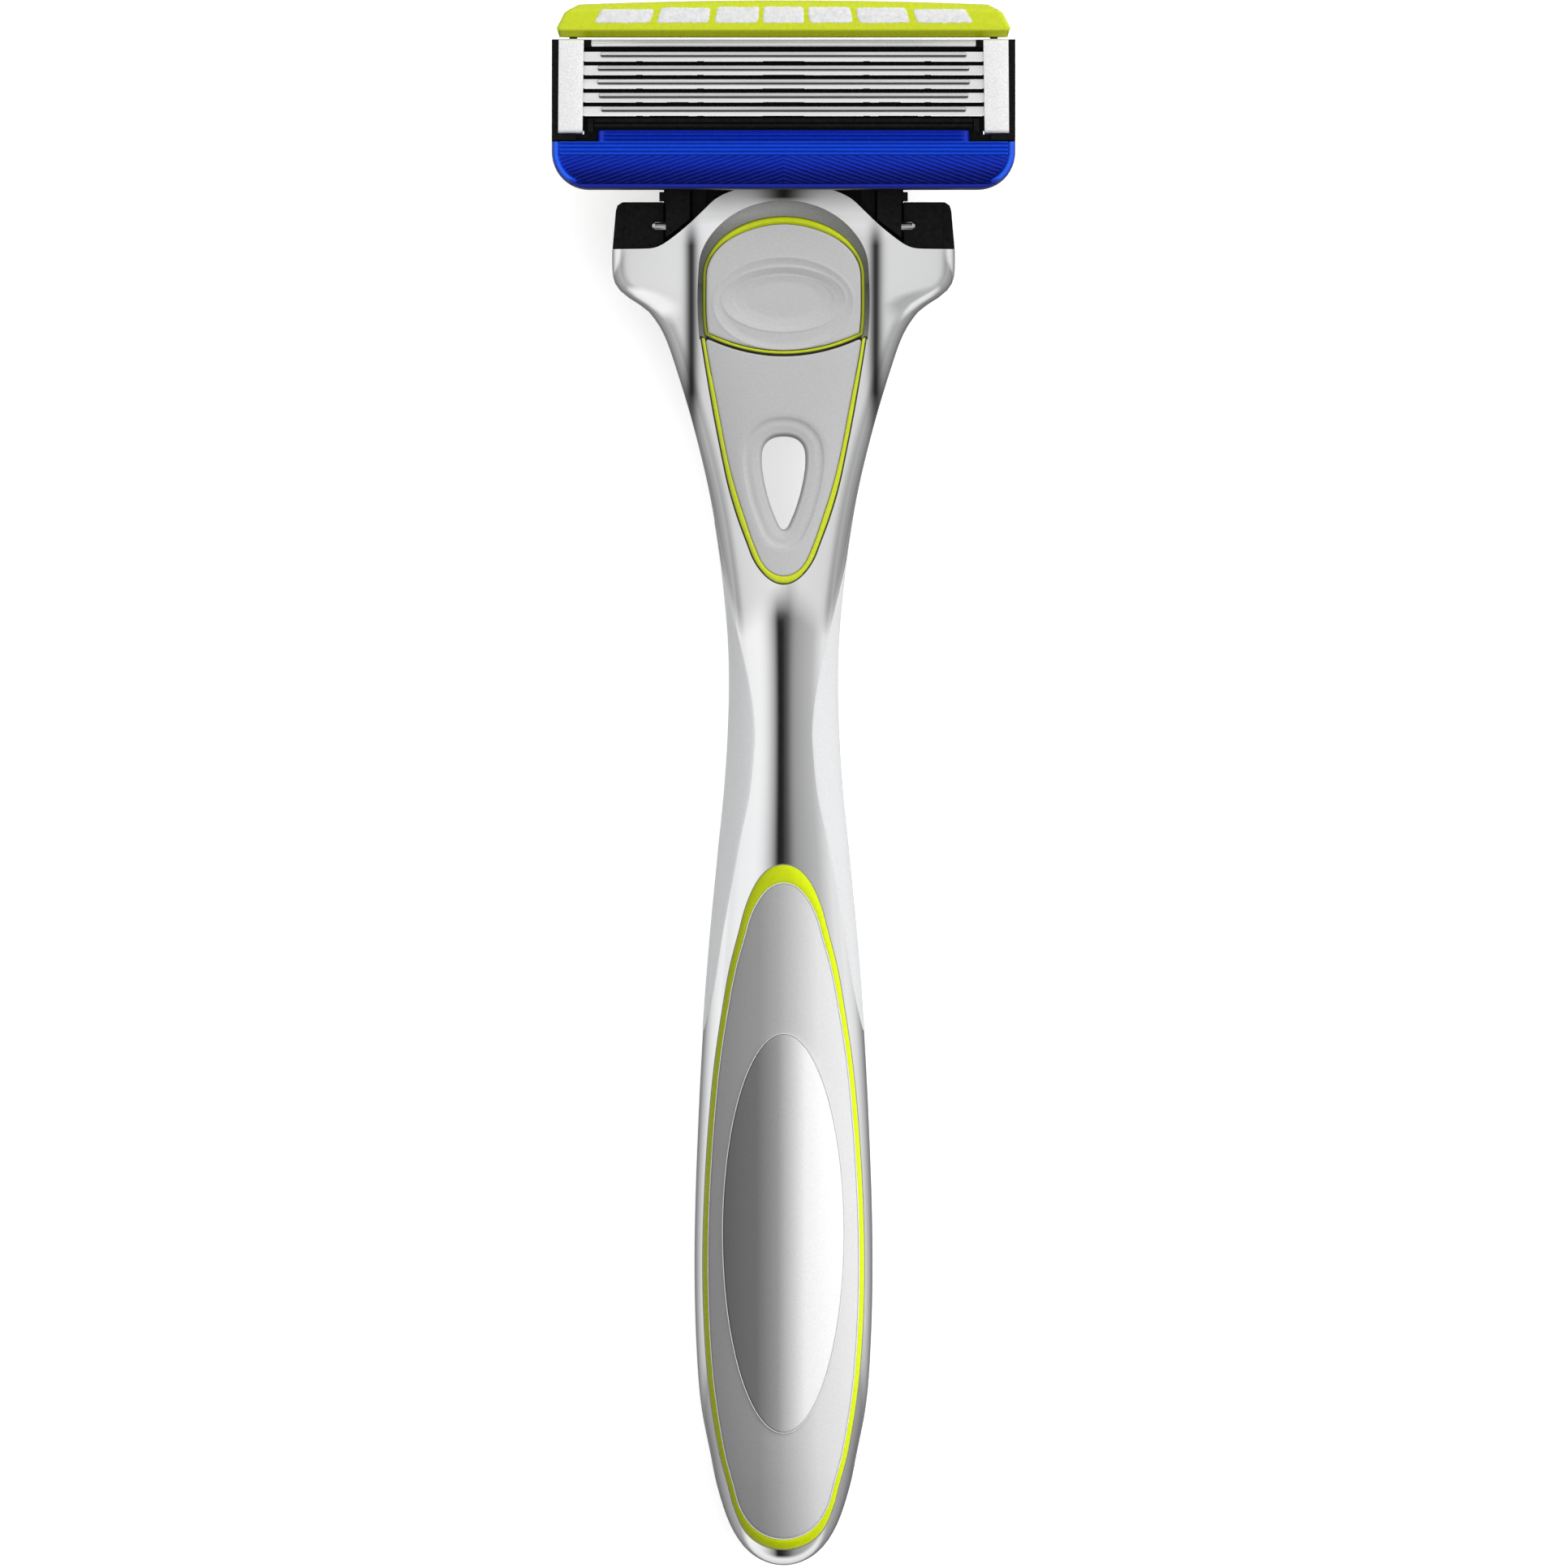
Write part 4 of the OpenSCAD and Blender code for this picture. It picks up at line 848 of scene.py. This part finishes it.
# ------------------------------------------------------------------ button
t = np.linspace(0, PI / 2, 80)
by = 41.25 + 10.9 * np.sin(t)
bw = spl(BTN_W, by) * cap(by, 38, 52.15, 0, 5.5)
br = np.stack([bw, by], 1)
xs = np.linspace(-7.05, 7.05, 80)
btn_out = resample(np.concatenate([np.stack([xs, foot_y(xs)], 1), br, (br * [-1, 1])[::-1][1:]]), 480, True)
for _ in range(4):
    btn_out = (np.roll(btn_out, 1, 0) + btn_out * 2 + np.roll(btn_out, -1, 0)) / 4
ang = np.arctan2(btn_out[:, 1] - 45.5, btn_out[:, 0])
rimw = 0.36 + 0.36 * smooth(0.2, 1.2, ang) * smooth(0.2, 1.2, PI - ang) * (ang > 0)
btn_in = inset(btn_out, rimw)
for _ in range(6):
    btn_in = (np.roll(btn_in, 1, 0) + btn_in * 2 + np.roll(btn_in, -1, 0)) / 4


def brim(v):
    return v


prof = [(0.0, -1.9), (0.0, -0.12), (0.05, -0.02), (0.12, 0.08), (0.2, 0.15), (0.3, 0.20), (0.42, 0.24), (0.55, 0.25), (0.68, 0.23), (0.8, 0.18), (0.9, 0.11), (1.0, 0.02), (1.0, -1.2)]
prof[0] = (0.0, -1.05)
prof[-1] = (1.0, -1.05)
bbase = strip_ring("button_rim", btn_out, btn_in, prof, LIME_BTN, "button", ztop, shade=(LIME_SHADE, 0.5))
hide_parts("button_base")


def dish_r(X, Y, a, b, cy):
    return np.sqrt((X / a) ** 2 + ((Y - cy) / b) ** 2)


def button_h(X, Y, Do, Di):
    h = 0.22 + round_over(Do, 0.25, 0.14)
    r1 = dish_r(X, Y, 6.3, 4.15, 44.15)
    r2 = dish_r(X, Y, 5.25, 2.75, 44.55)
    r3 = dish_r(X, Y, 4.6, 2.2, 44.5)
    # the dish steps down in soft terraces with faint raised lines at their edges
    h -= 0.16 * (1 - smooth(0.86, 1.04, r1))
    h += 0.035 * np.exp(-((r1 - 1.02) / 0.025) ** 2)
    h -= 0.26 * (1 - smooth(0.80, 1.08, r2))
    h += 0.045 * np.exp(-((r2 - 1.08) / 0.03) ** 2)
    h -= 0.10 * (1 - smooth(0.7, 1.0, r3))
    h += 0.03 * np.exp(-((r3 - 1.02) / 0.03) ** 2)
    return h


c0 = np.array([0.0, 45.0])
tiny = c0 + 0.05 * np.stack([np.cos(np.linspace(-PI, PI, 60, endpoint=False)), np.sin(np.linspace(-PI, PI, 60, endpoint=False))], 1)
bpad = polar_panel("button_thumb_pad", inset(btn_in, 0.02), tiny, c0, button_h, 0, GREY, "button", 360, 110, flat_bottom=12.9, hole=False)
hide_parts("button_pad")
# body of the button under the rim
core = prism("button_core", [tuple(map(float, p)) for p in inset(btn_out, 0.12)[::3]], 12.52, 13.15)
core.data.materials.clear()
core.data.materials.append(LIME)
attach(core, "button")


t = np.linspace(0, PI / 2, 80)
ys = 46.0 + 7.64 * np.sin(t)
w_ = spl(WELL_W, ys) * cap(ys, 38, 53.64, 0, 6)
arc_o = np.stack([w_ + 0.05 * (w_ > 0.01), ys], 1)
ledge = prism("well_ledge", [tuple(map(float, p)) for p in np.concatenate([arc_o, (arc_o * [-1, 1])[::-1][1:]])], 12.41, 12.48)
ledge.data.materials.clear()
ledge.data.materials.append(WELL)
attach(ledge, "handle")


# ------------------------------------------------------------------ waist inlays
def side_inlay(s):
    ny, nz = 150, 40
    ys = -22.5 + (24.3 + 22.5) * (1 - np.cos(np.linspace(0, PI, ny))) / 2
    P = []
    for y in ys:
        w, zt, zb, n = float(hwid(y)), float(htop(y)), float(hbot(y)), float(spl(PW_T, y))
        b = min(float(spl(INLAY_B, y)), w * 0.995)
        zc, h = (zt + zb) / 2, (zt - zb) / 2
        # angle on the section where the inlay starts (top) and ends (near the belly)
        a0 = math.acos(min(1, (b / w)) ** (n / 2))
        zlow = max(2.2, zb + 0.3)
        a1 = -math.asin(min(1, max(0, (zc - zlow) / h)) ** (n / 2))
        # taper the lower edge to the ends so that the inlay is a leaf shape
        k = min(1.0, 1.25 * math.sin(PI * (y + 22.6) / 47.0) ** 0.85) if -22.6 < y < 24.4 else 0
        a1 = a1 * k
        aa = np.linspace(a0, a1, nz)
        c, sn = np.cos(aa), np.sin(aa)
        x = w * np.sign(c) * np.abs(c) ** (2 / n)
        z = zc + h * np.sign(sn) * np.abs(sn) ** (2 / n)
        # outward normal in the section, roughly
        nx_, nz_ = x / w**2, (z - zc) / h**2
        L = np.hypot(nx_, nz_) + 1e-9
        e = np.minimum(np.abs(aa - a0), np.abs(aa - a1)) * w
        lift = 0.05 - 0.12 * np.clip(1 - e / 0.2, 0, 1) ** 2
        P.append(np.stack([s * (x + nx_ / L * lift), np.full(nz, y), z + nz_ / L * lift], 1))
    P = np.array(P)
    Q = P.copy()
    Q[:, :, 0] *= 0.86
    Q[:, :, 2] = 6 + (Q[:, :, 2] - 6) * 0.9
    v, f = slab_from_grid(P, Q)
    name = "waist_inlay_" + ("left" if s < 0 else "right")
    ob = make(name, v, f, PALE, "handle", angle=50)
    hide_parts("side_grip_left" if s < 0 else "side_grip_right")
    return ob


side_inlay(-1)
side_inlay(1)


# ------------------------------------------------------------------ guard
def ridge(ph, sharp=1.0):
    """0..1 rounded ridges of period 1."""
    c = 0.5 + 0.5 * np.cos(2 * PI * ph)
    return c**sharp


def guard_w(y):
    """Half width of the guard along Y."""
    y = np.asarray(y, float)
    r = 3.45
    yc = 57.95
    w = np.full_like(y, 21.2)
    u = np.clip((yc - y) / r, 0, 1)
    return np.where(y < yc, 21.2 - r + r * np.sqrt(np.maximum(0, 1 - u**2)), w)


def build_guard():
    y0, y1 = 54.52, 58.85
    ny, nx = 100, 480
    ys = np.concatenate([y0 + 0.5 * (1 - np.cos(np.linspace(0, PI / 2, 14))), np.linspace(y0 + 0.5, y1, ny - 14 + 1)[1:]])
    w = guard_w(ys)
    w = np.maximum(w, 17.6)
    u = np.linspace(-1, 1, nx)
    u = np.sign(u) * (np.abs(u) * 0.97 + 0.03 * np.abs(u) ** 9)
    X = w[:, None] * u[None, :]
    Y = np.repeat(ys[:, None], nx, 1)
    out = np.concatenate([np.stack([w, ys], 1), np.stack([-w[::-1], ys[::-1]], 1)])
    n = len(ys)
    edge = np.concatenate([np.stack([-w[::-1], ys[::-1]], 1), np.stack([w, ys], 1)])
    D = dist_to(resample(np.concatenate([[(-21.2, 60)], edge, [(21.2, 60)]]), 300, False), X, Y, False)
    # floor of the patterned zone falls towards the front lip
    z = 18.95 + 0.35 * smooth(55.0, 57.6, Y)
    ph = (Y + 0.344 * np.abs(X)) / 0.37
    wob = 0.06 * np.sin(X * 2.1 + Y * 3) + 0.05 * np.sin(X * 5.3)
    zone = smooth(55.02, 55.2, Y) * (1 - smooth(57.45, 57.6, Y)) * (1 - smooth(19.0, 19.4, np.abs(X)) * (1 - smooth(55.4, 56.4, Y)))
    z += zone * 0.20 * ridge(ph + wob * 0.4, 0.8) * (0.75 + 0.25 * smooth(57.5, 55.2, Y))
    # straight fins
    fin = smooth(57.45, 57.6, Y)
    z += fin * (0.10 + 0.20 * ridge((Y - 57.74) / 0.355, 1.2)) + 0.10 * np.exp(-((Y - 57.74) / 0.09) ** 2)
    # front lip
    lip = 1 - smooth(54.98, 55.08, Y)
    z = z * (1 - lip) + (19.16 + 0.06 * np.cos((Y - 54.8) * 8)) * lip
    # raised side lips that run round the corner
    side = (1 - smooth(0.62, 0.75, D)) * smooth(54.6, 55.6, Y + 0.0 * X) * smooth(18.7, 19.1, np.abs(X))
    z = z * (1 - side) + (19.62 - 0.35 * ((D - 0.34) / 0.40) ** 2) * side
    z += round_over(D, 0.26, 0.35)
    P = np.stack([X, Y, z], 2)
    Q = np.stack([X, Y, np.full_like(X, 18.05)], 2)
    v, f = slab_from_grid(P, Q)
    ob = make("guard_fins", v, f, BLUE, "cartridge", angle=70)
    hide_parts("guard_elastomer")
    # inner fins
    ny, nx = 44, 200
    ys = np.linspace(58.80, 59.9, ny)
    us = np.linspace(-1, 1, nx)
    X = 17.0 * us[None, :].repeat(ny, 0)
    Y = np.repeat(ys[:, None], nx, 1)
    E = np.minimum(17.0 - np.abs(X), 99)
    z = 19.25 + 0.22 * ridge((Y - 57.74) / 0.355, 1.2)
    rib = smooth(16.32, 16.42, np.abs(X))
    ribs = 0.5 + 0.5 * np.cos((np.abs(X) - 16.72) * 2 * PI / 0.36)
    z = z * (1 - rib) + (19.3 + 0.2 * ribs) * rib
    z += round_over(np.minimum(E, np.maximum(59.9 - Y, 0)), 0.14, 0.3)
    P = np.stack([X, Y, z], 2)
    Q = np.stack([X, Y, np.full_like(X, 18.05)], 2)
    v, f = slab_from_grid(P, Q)
    make("guard_inner_fins", v, f, BLUE, "cartridge", angle=70)


build_guard()


# ------------------------------------------------------------------ skin guard bars, clips
def bars():
    half = [16.7, 16.9, 17.05, 17.0, 16.75]
    allv, allf = [], []
    off = 0
    for i in range(5):
        ye = 61.2 + 1.25 * i + 0.62
        L = half[i]
        st = np.concatenate([-L + 0.2 * (1 - np.cos(np.linspace(0, PI / 2, 7))), np.linspace(-L + 0.2, L - 0.2, 41)[1:-1], L - 0.2 * np.cos(np.linspace(PI / 2, 0, 7)) + 0.0])
        st[-7:] = L - 0.2 * (1 - np.sin(np.linspace(0, PI / 2, 7)))
        sec = []
        for x in st:
            e = min(1.0, (L - abs(x)) / 0.2)
            k = math.sqrt(max(0.02, 1 - (1 - e) ** 2))
            a = np.linspace(0, 2 * PI, 20, endpoint=False)
            yy = ye + 0.215 * k * np.cos(a)
            zz = 19.66 + 0.16 * k * np.sin(a)
            # the underside lies on the blade
            zz = np.maximum(zz, 19.75 - 0.404 * (yy - (61.2 + 1.25 * i)) + 0.006)
            sec.append(np.stack([np.full(20, x), yy, zz], 1))
        v, f = sweep_open(np.array(sec))
        allv.append(v)
        allf += [tuple(q + off for q in g) for g in f]
        off += len(v)
    ob = make("skin_guard_rods", np.concatenate(allv), allf, BARM, "cartridge", angle=60)
    ob.data.materials.append(BARD)
    for p in ob.data.polygons:
        if p.normal.y < -0.25:
            p.material_index = 1
    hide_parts("skin_guard_bars")


bars()


def cap_strip():
    prof = [(67.52, 18.98), (67.52, 19.45), (67.56, 19.55), (67.66, 19.60), (67.76, 19.58), (67.83, 19.50), (67.87, 19.42), (67.93, 19.42),
            (67.97, 19.50), (68.03, 19.59), (68.13, 19.62), (68.15, 19.5), (68.15, 18.98)]
    sec = []
    for x in (-17.6, -17.55, -17.5, -12, -6, 0, 6, 12, 17.5, 17.55, 17.6):
        k = 0.0 if abs(x) < 17.52 else (0.02 if abs(x) < 17.58 else 0.06)
        sec.append([[x, y + (k if y < 67.6 else (-k if y > 68.1 else 0)), z - (k if z > 19.1 else 0)] for y, z in prof])
    v, f = sweep_open(np.array(sec))
    ob = make("cap_strip", v, f, BLADE, "cartridge", angle=50)
    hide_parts("cap_bar")


cap_strip()


def fillet_path(pts, r, n=7):
    """Polyline with its corners rounded."""
    out = [np.array(pts[0], float)]
    for i in range(1, len(pts) - 1):
        p, a, b = np.array(pts[i], float), np.array(pts[i - 1], float), np.array(pts[i + 1], float)
        da, db = (a - p) / np.linalg.norm(a - p), (b - p) / np.linalg.norm(b - p)
        rr = min(r, np.linalg.norm(a - p) * 0.45, np.linalg.norm(b - p) * 0.45)
        s, e = p + da * rr, p + db * rr
        for t in np.linspace(0, 1, n):
            out.append((1 - t) ** 2 * s + 2 * t * (1 - t) * p + t**2 * e)
    out.append(np.array(pts[-1], float))
    return np.array(out)


def clip(s):
    mid = fillet_path([(60.6, 16.18), (59.73, 16.18), (59.73, 19.9), (63.9, 19.92), (68.12, 19.9), (68.12, 18.43), (67.4, 18.43)], 0.3, 8)
    t = np.gradient(mid, axis=0)
    t /= np.hypot(t[:, 0], t[:, 1])[:, None]
    nrm = np.stack([-t[:, 1], t[:, 0]], 1)
    sec = []
    for (y, z), (a, b) in zip(mid, nrm):
        k = (y - 59.6) / 8.65
        x0, x1 = 18.38 - 0.12 * k, 20.62 - 0.06 * k
        h, r = 0.125, 0.05
        loop = [(x0, -h + r), (x0 + r * 0.3, -h + r * 0.3), (x0 + r, -h), (x1 - r, -h), (x1 - r * 0.3, -h + r * 0.3), (x1, -h + r),
                (x1, h - r), (x1 - r * 0.3, h - r * 0.3), (x1 - r, h), (x0 + r, h), (x0 + r * 0.3, h - r * 0.3), (x0, h - r)]
        sec.append([[s * x, y + a * o, z + b * o] for x, o in loop])
    v, f = sweep_open(np.array(sec))
    side = "left" if s < 0 else "right"
    ob = make("clip_band_" + side, v, f, CLIP, "cartridge", angle=45)
    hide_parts("clip_" + side)


clip(-1)
clip(1)


# ------------------------------------------------------------------ reservoir
END_X = [(68.3, 20.48), (68.9, 20.62), (69.4, 20.8), (70.2, 20.5), (71.0, 20.0), (71.4, 19.4), (71.8, 18.7)]


def res_section(n_arc=20):
    sec = fillet_path([(68.42, 17.6), (68.42, 19.05), (69.02, 20.13), (71.15, 20.0), (71.78, 19.35), (71.78, 17.6)], 0.2, 7)
    return sec


def build_res():
    top = res_section()
    a = np.radians(np.linspace(0, -180, 26))
    arc = np.stack([70.1 + 1.62 * np.cos(a), 16.95 + 1.6 * np.sin(a)], 1)
    full = np.concatenate([top, arc])
    nx = 161
    us = np.linspace(-1, 1, nx)
    us = np.sin(us * PI / 2) * 0.5 + us * 0.5
    sec = []
    for u in us:
        row = []
        for y, z in full:
            xe = float(spl(END_X, min(71.8, max(68.3, y))))
            if z < 18.55:
                xe = min(xe, 18.66)
            x = xe * u
            # the back edge is crowned
            cr = 0.4 * (x / 19.3) ** 2
            yy = y - cr * float(smooth(69.0, 71.8, np.array(y)))
            k = max(0.0, 1 - (1 - abs(u)) * 20.5 / 0.35)
            zz = z - 0.22 * k**2 * (1 if z > 19 else 0)
            row.append((x, yy, zz))
        sec.append(row)
    v, f = sweep_open(np.array(sec))
    ob = make("reservoir_body", v, f, LIME, "reservoir", angle=38)
    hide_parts("reservoir_carrier")


build_res()


def gel():
    rng = np.random.RandomState(7)
    wins = [(-1.94, 1.94, 0.12), (2.2, 6.35, 0.3), (6.6, 11.65, 0.5), (11.8, 17.4, 0.75)]
    allv, allf, off = [], [], 0
    for k in range(7):
        i = [0, 1, 1, 2, 2, 3, 3][k]
        s = -1 if k in (2, 4, 6) else 1
        x0, x1, lean = wins[i]
        yb, yt = 69.66, 71.18 - 0.4 * ((x0 + x1) / 2 / 19.3) ** 2
        l0 = 0.0 if i == 0 else lean * 0.55
        poly = np.array([(x0 + l0, yb), (x1, yb), (x1 - lean, yt), (x0 - (lean * 0.0 if i == 0 else 0.02), yt)])
        if i == 0:
            poly = np.array([(x0, yb), (x1, yb), (x1 - 0.1, yt), (x0 + 0.1, yt)])
        p = resample(poly, 300, True)
        for _ in range(60):
            p = (np.roll(p, 1, 0) + p * 2 + np.roll(p, -1, 0)) / 4
        c = p.mean(0)
        n = 220
        p = resample(p, n, True)
        jag = rng.uniform(-1, 1, n)
        jag = (np.roll(jag, 1) + jag * 2 + np.roll(jag, -1)) / 4 + 0.5 * np.interp(np.arange(n), np.arange(0, n + 1, 11), rng.uniform(-1, 1, n // 11 + 1))
        p = inset(p, 0.0 + 0.055 * jag)
        p[:, 0] *= s
        c = c * [s, 1]
        rings = [1.0, 0.985, 0.95, 0.88, 0.78, 0.66, 0.54, 0.42, 0.3, 0.18, 0.07]
        hs = [-0.25, -0.02, 0.02, 0.035, 0.04, 0.045, 0.045, 0.045, 0.045, 0.045, 0.045]
        rows = []
        for r_, h_ in zip(rings, hs):
            q = c + (p - c) * [1 - (1 - r_) * (1.5 / max(1.5, (x1 - x0)))* 1.0 if r_ > 0.9 else r_, r_]
            zz = 20.12 - 0.12 * (q[:, 1] - 69.0) / 2.15 + h_ + (rng.uniform(-0.012, 0.012, n) if h_ > 0 and r_ > 0.9 else 0)
            rows.append(np.column_stack([q, zz]))
        rows = np.array(rows)
        v = rows.reshape(-1, 3)
        f = grid_faces(len(rings), n, False, True)
        f.append(tuple((len(rings) - 1) * n + j for j in range(n)))
        f.append(tuple(j for j in range(n - 1, -1, -1)))
        allv.append(v)
        allf += [tuple(q + off for q in g) for g in f]
        off += len(v)
    ob = make("gel_windows", np.concatenate(allv), allf, GEL, "reservoir", angle=60)
    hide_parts("gel_pads")


gel()

# ------------------------------------------------------------------ CAD pieces that keep their shape
for n_, mt in {"back_grip": GREY, "balance_weight": STEEL, "docking_head": BLACK, "button_spring": STEEL, "pusher": BLACK, "connector_yoke": BLACK,
               "latch_pegs": STEEL, "pivot_pins": STEEL, "plunger_spring": STEEL, "plunger": BLACK, "cartridge_frame": BLACK, 
               "reservoir_hinge_pins": STEEL}.items():
    paint(n_, mt)
for i in range(1, 6):
    paint("blade_%d" % i, BLADE)
    paint("blade_support_%d" % i, STEEL)
for n_, w_ in {"back_grip": 0.25, "docking_head": 0.12, "pusher": 0.1, "connector_yoke": 0.15, "cartridge_frame": 0.05}.items():
    soften(n_, w_)

# ------------------------------------------------------------------ floor, light, camera
sc = bpy.context.scene
sc.view_settings.view_transform = "Standard"
sc.view_settings.look = "None"
sc.view_settings.exposure = 0.0

fm = Mat("studio_floor").set(Roughness=0.9, Emission_Color=(1, 1, 1, 1), Emission_Strength=0.38)
two_tone(fm, 3, (0.955, 0.955, 0.955), (0.965, 0.965, 0.965))
bpy.ops.mesh.primitive_plane_add(size=6.0, location=(0, 0, 0))
floor = bpy.context.object
floor.name = "floor"
floor.data.materials.append(fm.m)

w = bpy.data.worlds.new("studio")
sc.world = w
w.use_nodes = True
nt = w.node_tree
bg = nt.nodes["Background"]
tc = nt.nodes.new("ShaderNodeTexCoord")
sx = nt.nodes.new("ShaderNodeSeparateXYZ")
nt.links.new(tc.outputs["Generated"], sx.inputs["Vector"])


def world_ramp(out, stops, lo=-1, hi=1):
    mr = nt.nodes.new("ShaderNodeMapRange")
    mr.inputs["From Min"].default_value = lo
    mr.inputs["From Max"].default_value = hi
    nt.links.new(out, mr.inputs["Value"])
    rp = nt.nodes.new("ShaderNodeValToRGB")
    rp.color_ramp.interpolation = "LINEAR"
    while len(rp.color_ramp.elements) < len(stops):
        rp.color_ramp.elements.new(0.5)
    for el, (p_, c_) in zip(rp.color_ramp.elements, stops):
        el.position = (p_ + 1) / 2
        el.color = (c_, c_, c_, 1)
    nt.links.new(mr.outputs["Result"], rp.inputs["Fac"])
    return rp.outputs["Color"]


waist = world_ramp(sx.outputs["X"], [(-1, 0.88), (-0.9, 0.97), (-0.6, 1.0), (-0.5, 0.97), (-0.385, 0.88), (-0.29, 0.72), (-0.2, 0.52), (-0.126, 0.285),
                                     (-0.085, 0.10), (-0.06, 0.015), (-0.01, 0.022), (0.01, 0.057), (0.057, 0.126), (0.126, 0.267), (0.2, 0.358),
                                     (0.29, 0.40), (0.5, 0.47), (0.7, 0.53), (0.8, 0.62), (0.9, 0.74), (0.97, 0.86), (1, 0.84)])
head = world_ramp(sx.outputs["X"], [(-1, 0.6), (-0.93, 0.7), (-0.8, 0.76), (-0.25, 0.82), (-0.05, 0.90), (0.0, 0.80), (0.05, 0.66), (0.25, 0.78), (0.8, 0.76), (0.93, 0.7), (1, 0.6)])
side = world_ramp(sx.outputs["Y"], [(-1, 0), (-0.75, 0), (-0.6, 1), (-0.13, 1), (-0.07, 0), (0.30, 0), (0.50, 1), (1, 1)])
mxw = nt.nodes.new("ShaderNodeMix")
mxw.data_type = "RGBA"
nt.links.new(side, mxw.inputs["Factor"])
nt.links.new(waist, mxw.inputs["A"])
nt.links.new(head, mxw.inputs["B"])
nt.links.new(mxw.outputs["Result"], bg.inputs["Color"])
low = world_ramp(sx.outputs["Z"], [(-1, 0.5), (-0.83, 0.66), (-0.5, 0.90), (-0.1, 1.0), (0.05, 1), (1, 1)])
above = world_ramp(sx.outputs["Z"], [(-1, 0), (-0.12, 0), (0.08, 1), (1, 1)])
flat = world_ramp(sx.outputs["X"], [(-1, 1.0), (-0.3, 0.97), (0.0, 0.95), (0.3, 0.95), (1, 0.92)])
mxa = nt.nodes.new("ShaderNodeMix")
mxa.data_type = "RGBA"
nt.links.new(above, mxa.inputs["Factor"])
nt.links.new(flat, mxa.inputs["A"])
nt.links.new(mxw.outputs["Result"], mxa.inputs["B"])
low_head = world_ramp(sx.outputs["Z"], [(-1, 0.40), (-0.8, 0.34), (-0.3, 0.42), (0.0, 0.55), (0.2, 0.72), (0.4, 0.96), (1, 1)])
mxz = nt.nodes.new("ShaderNodeMix")
mxz.data_type = "RGBA"
nt.links.new(side, mxz.inputs["Factor"])
nt.links.new(low, mxz.inputs["A"])
nt.links.new(low_head, mxz.inputs["B"])
mul = nt.nodes.new("ShaderNodeMix")
mul.data_type = "RGBA"
mul.blend_type = "MULTIPLY"
mul.inputs["Factor"].default_value = 1.0
nt.links.new(mxa.outputs["Result"], mul.inputs["A"])
nt.links.new(mxz.outputs["Result"], mul.inputs["B"])
nt.links.new(mul.outputs["Result"], bg.inputs["Color"])
w.cycles_visibility.diffuse = False
floor.visible_glossy = False
bg.inputs["Strength"].default_value = 1.0


def area(name, loc, target, size, power, glossy=True):
    ld = bpy.data.lights.new(name, "AREA")
    ld.shape = "RECTANGLE"
    ld.size, ld.size_y = size
    ld.energy = power
    ob = bpy.data.objects.new(name, ld)
    sc.collection.objects.link(ob)
    ob.location = loc
    d = np.array(target, float) - np.array(loc, float)
    from mathutils import Vector
    ob.rotation_euler = Vector(d).to_track_quat("-Z", "Y").to_euler()
    ob.visible_glossy = glossy
    ob.visible_camera = False
    return ob


area("key_right", (1.10, 0.25, 0.60), (0, 0, 0), (0.5, 1.6), 12.0, False)
area("fill_top", (0.0, 0.45, 1.4), (0, 0, 0), (2.8, 2.8), 44.0, False)

cd = bpy.data.cameras.new("cam")
cam = bpy.data.objects.new("cam", cd)
sc.collection.objects.link(cam)
sc.camera = cam
cd.sensor_width = 36
cd.clip_start = 0.05
cd.clip_end = 20
H = 2.0
cam.location = (0.00004, 0.0001, H)
cam.rotation_euler = (0, 0, 0)
half = 0.5 * 1932 * 0.0745 * MM
cd.lens = 18.0 * (H - 0.012) / half
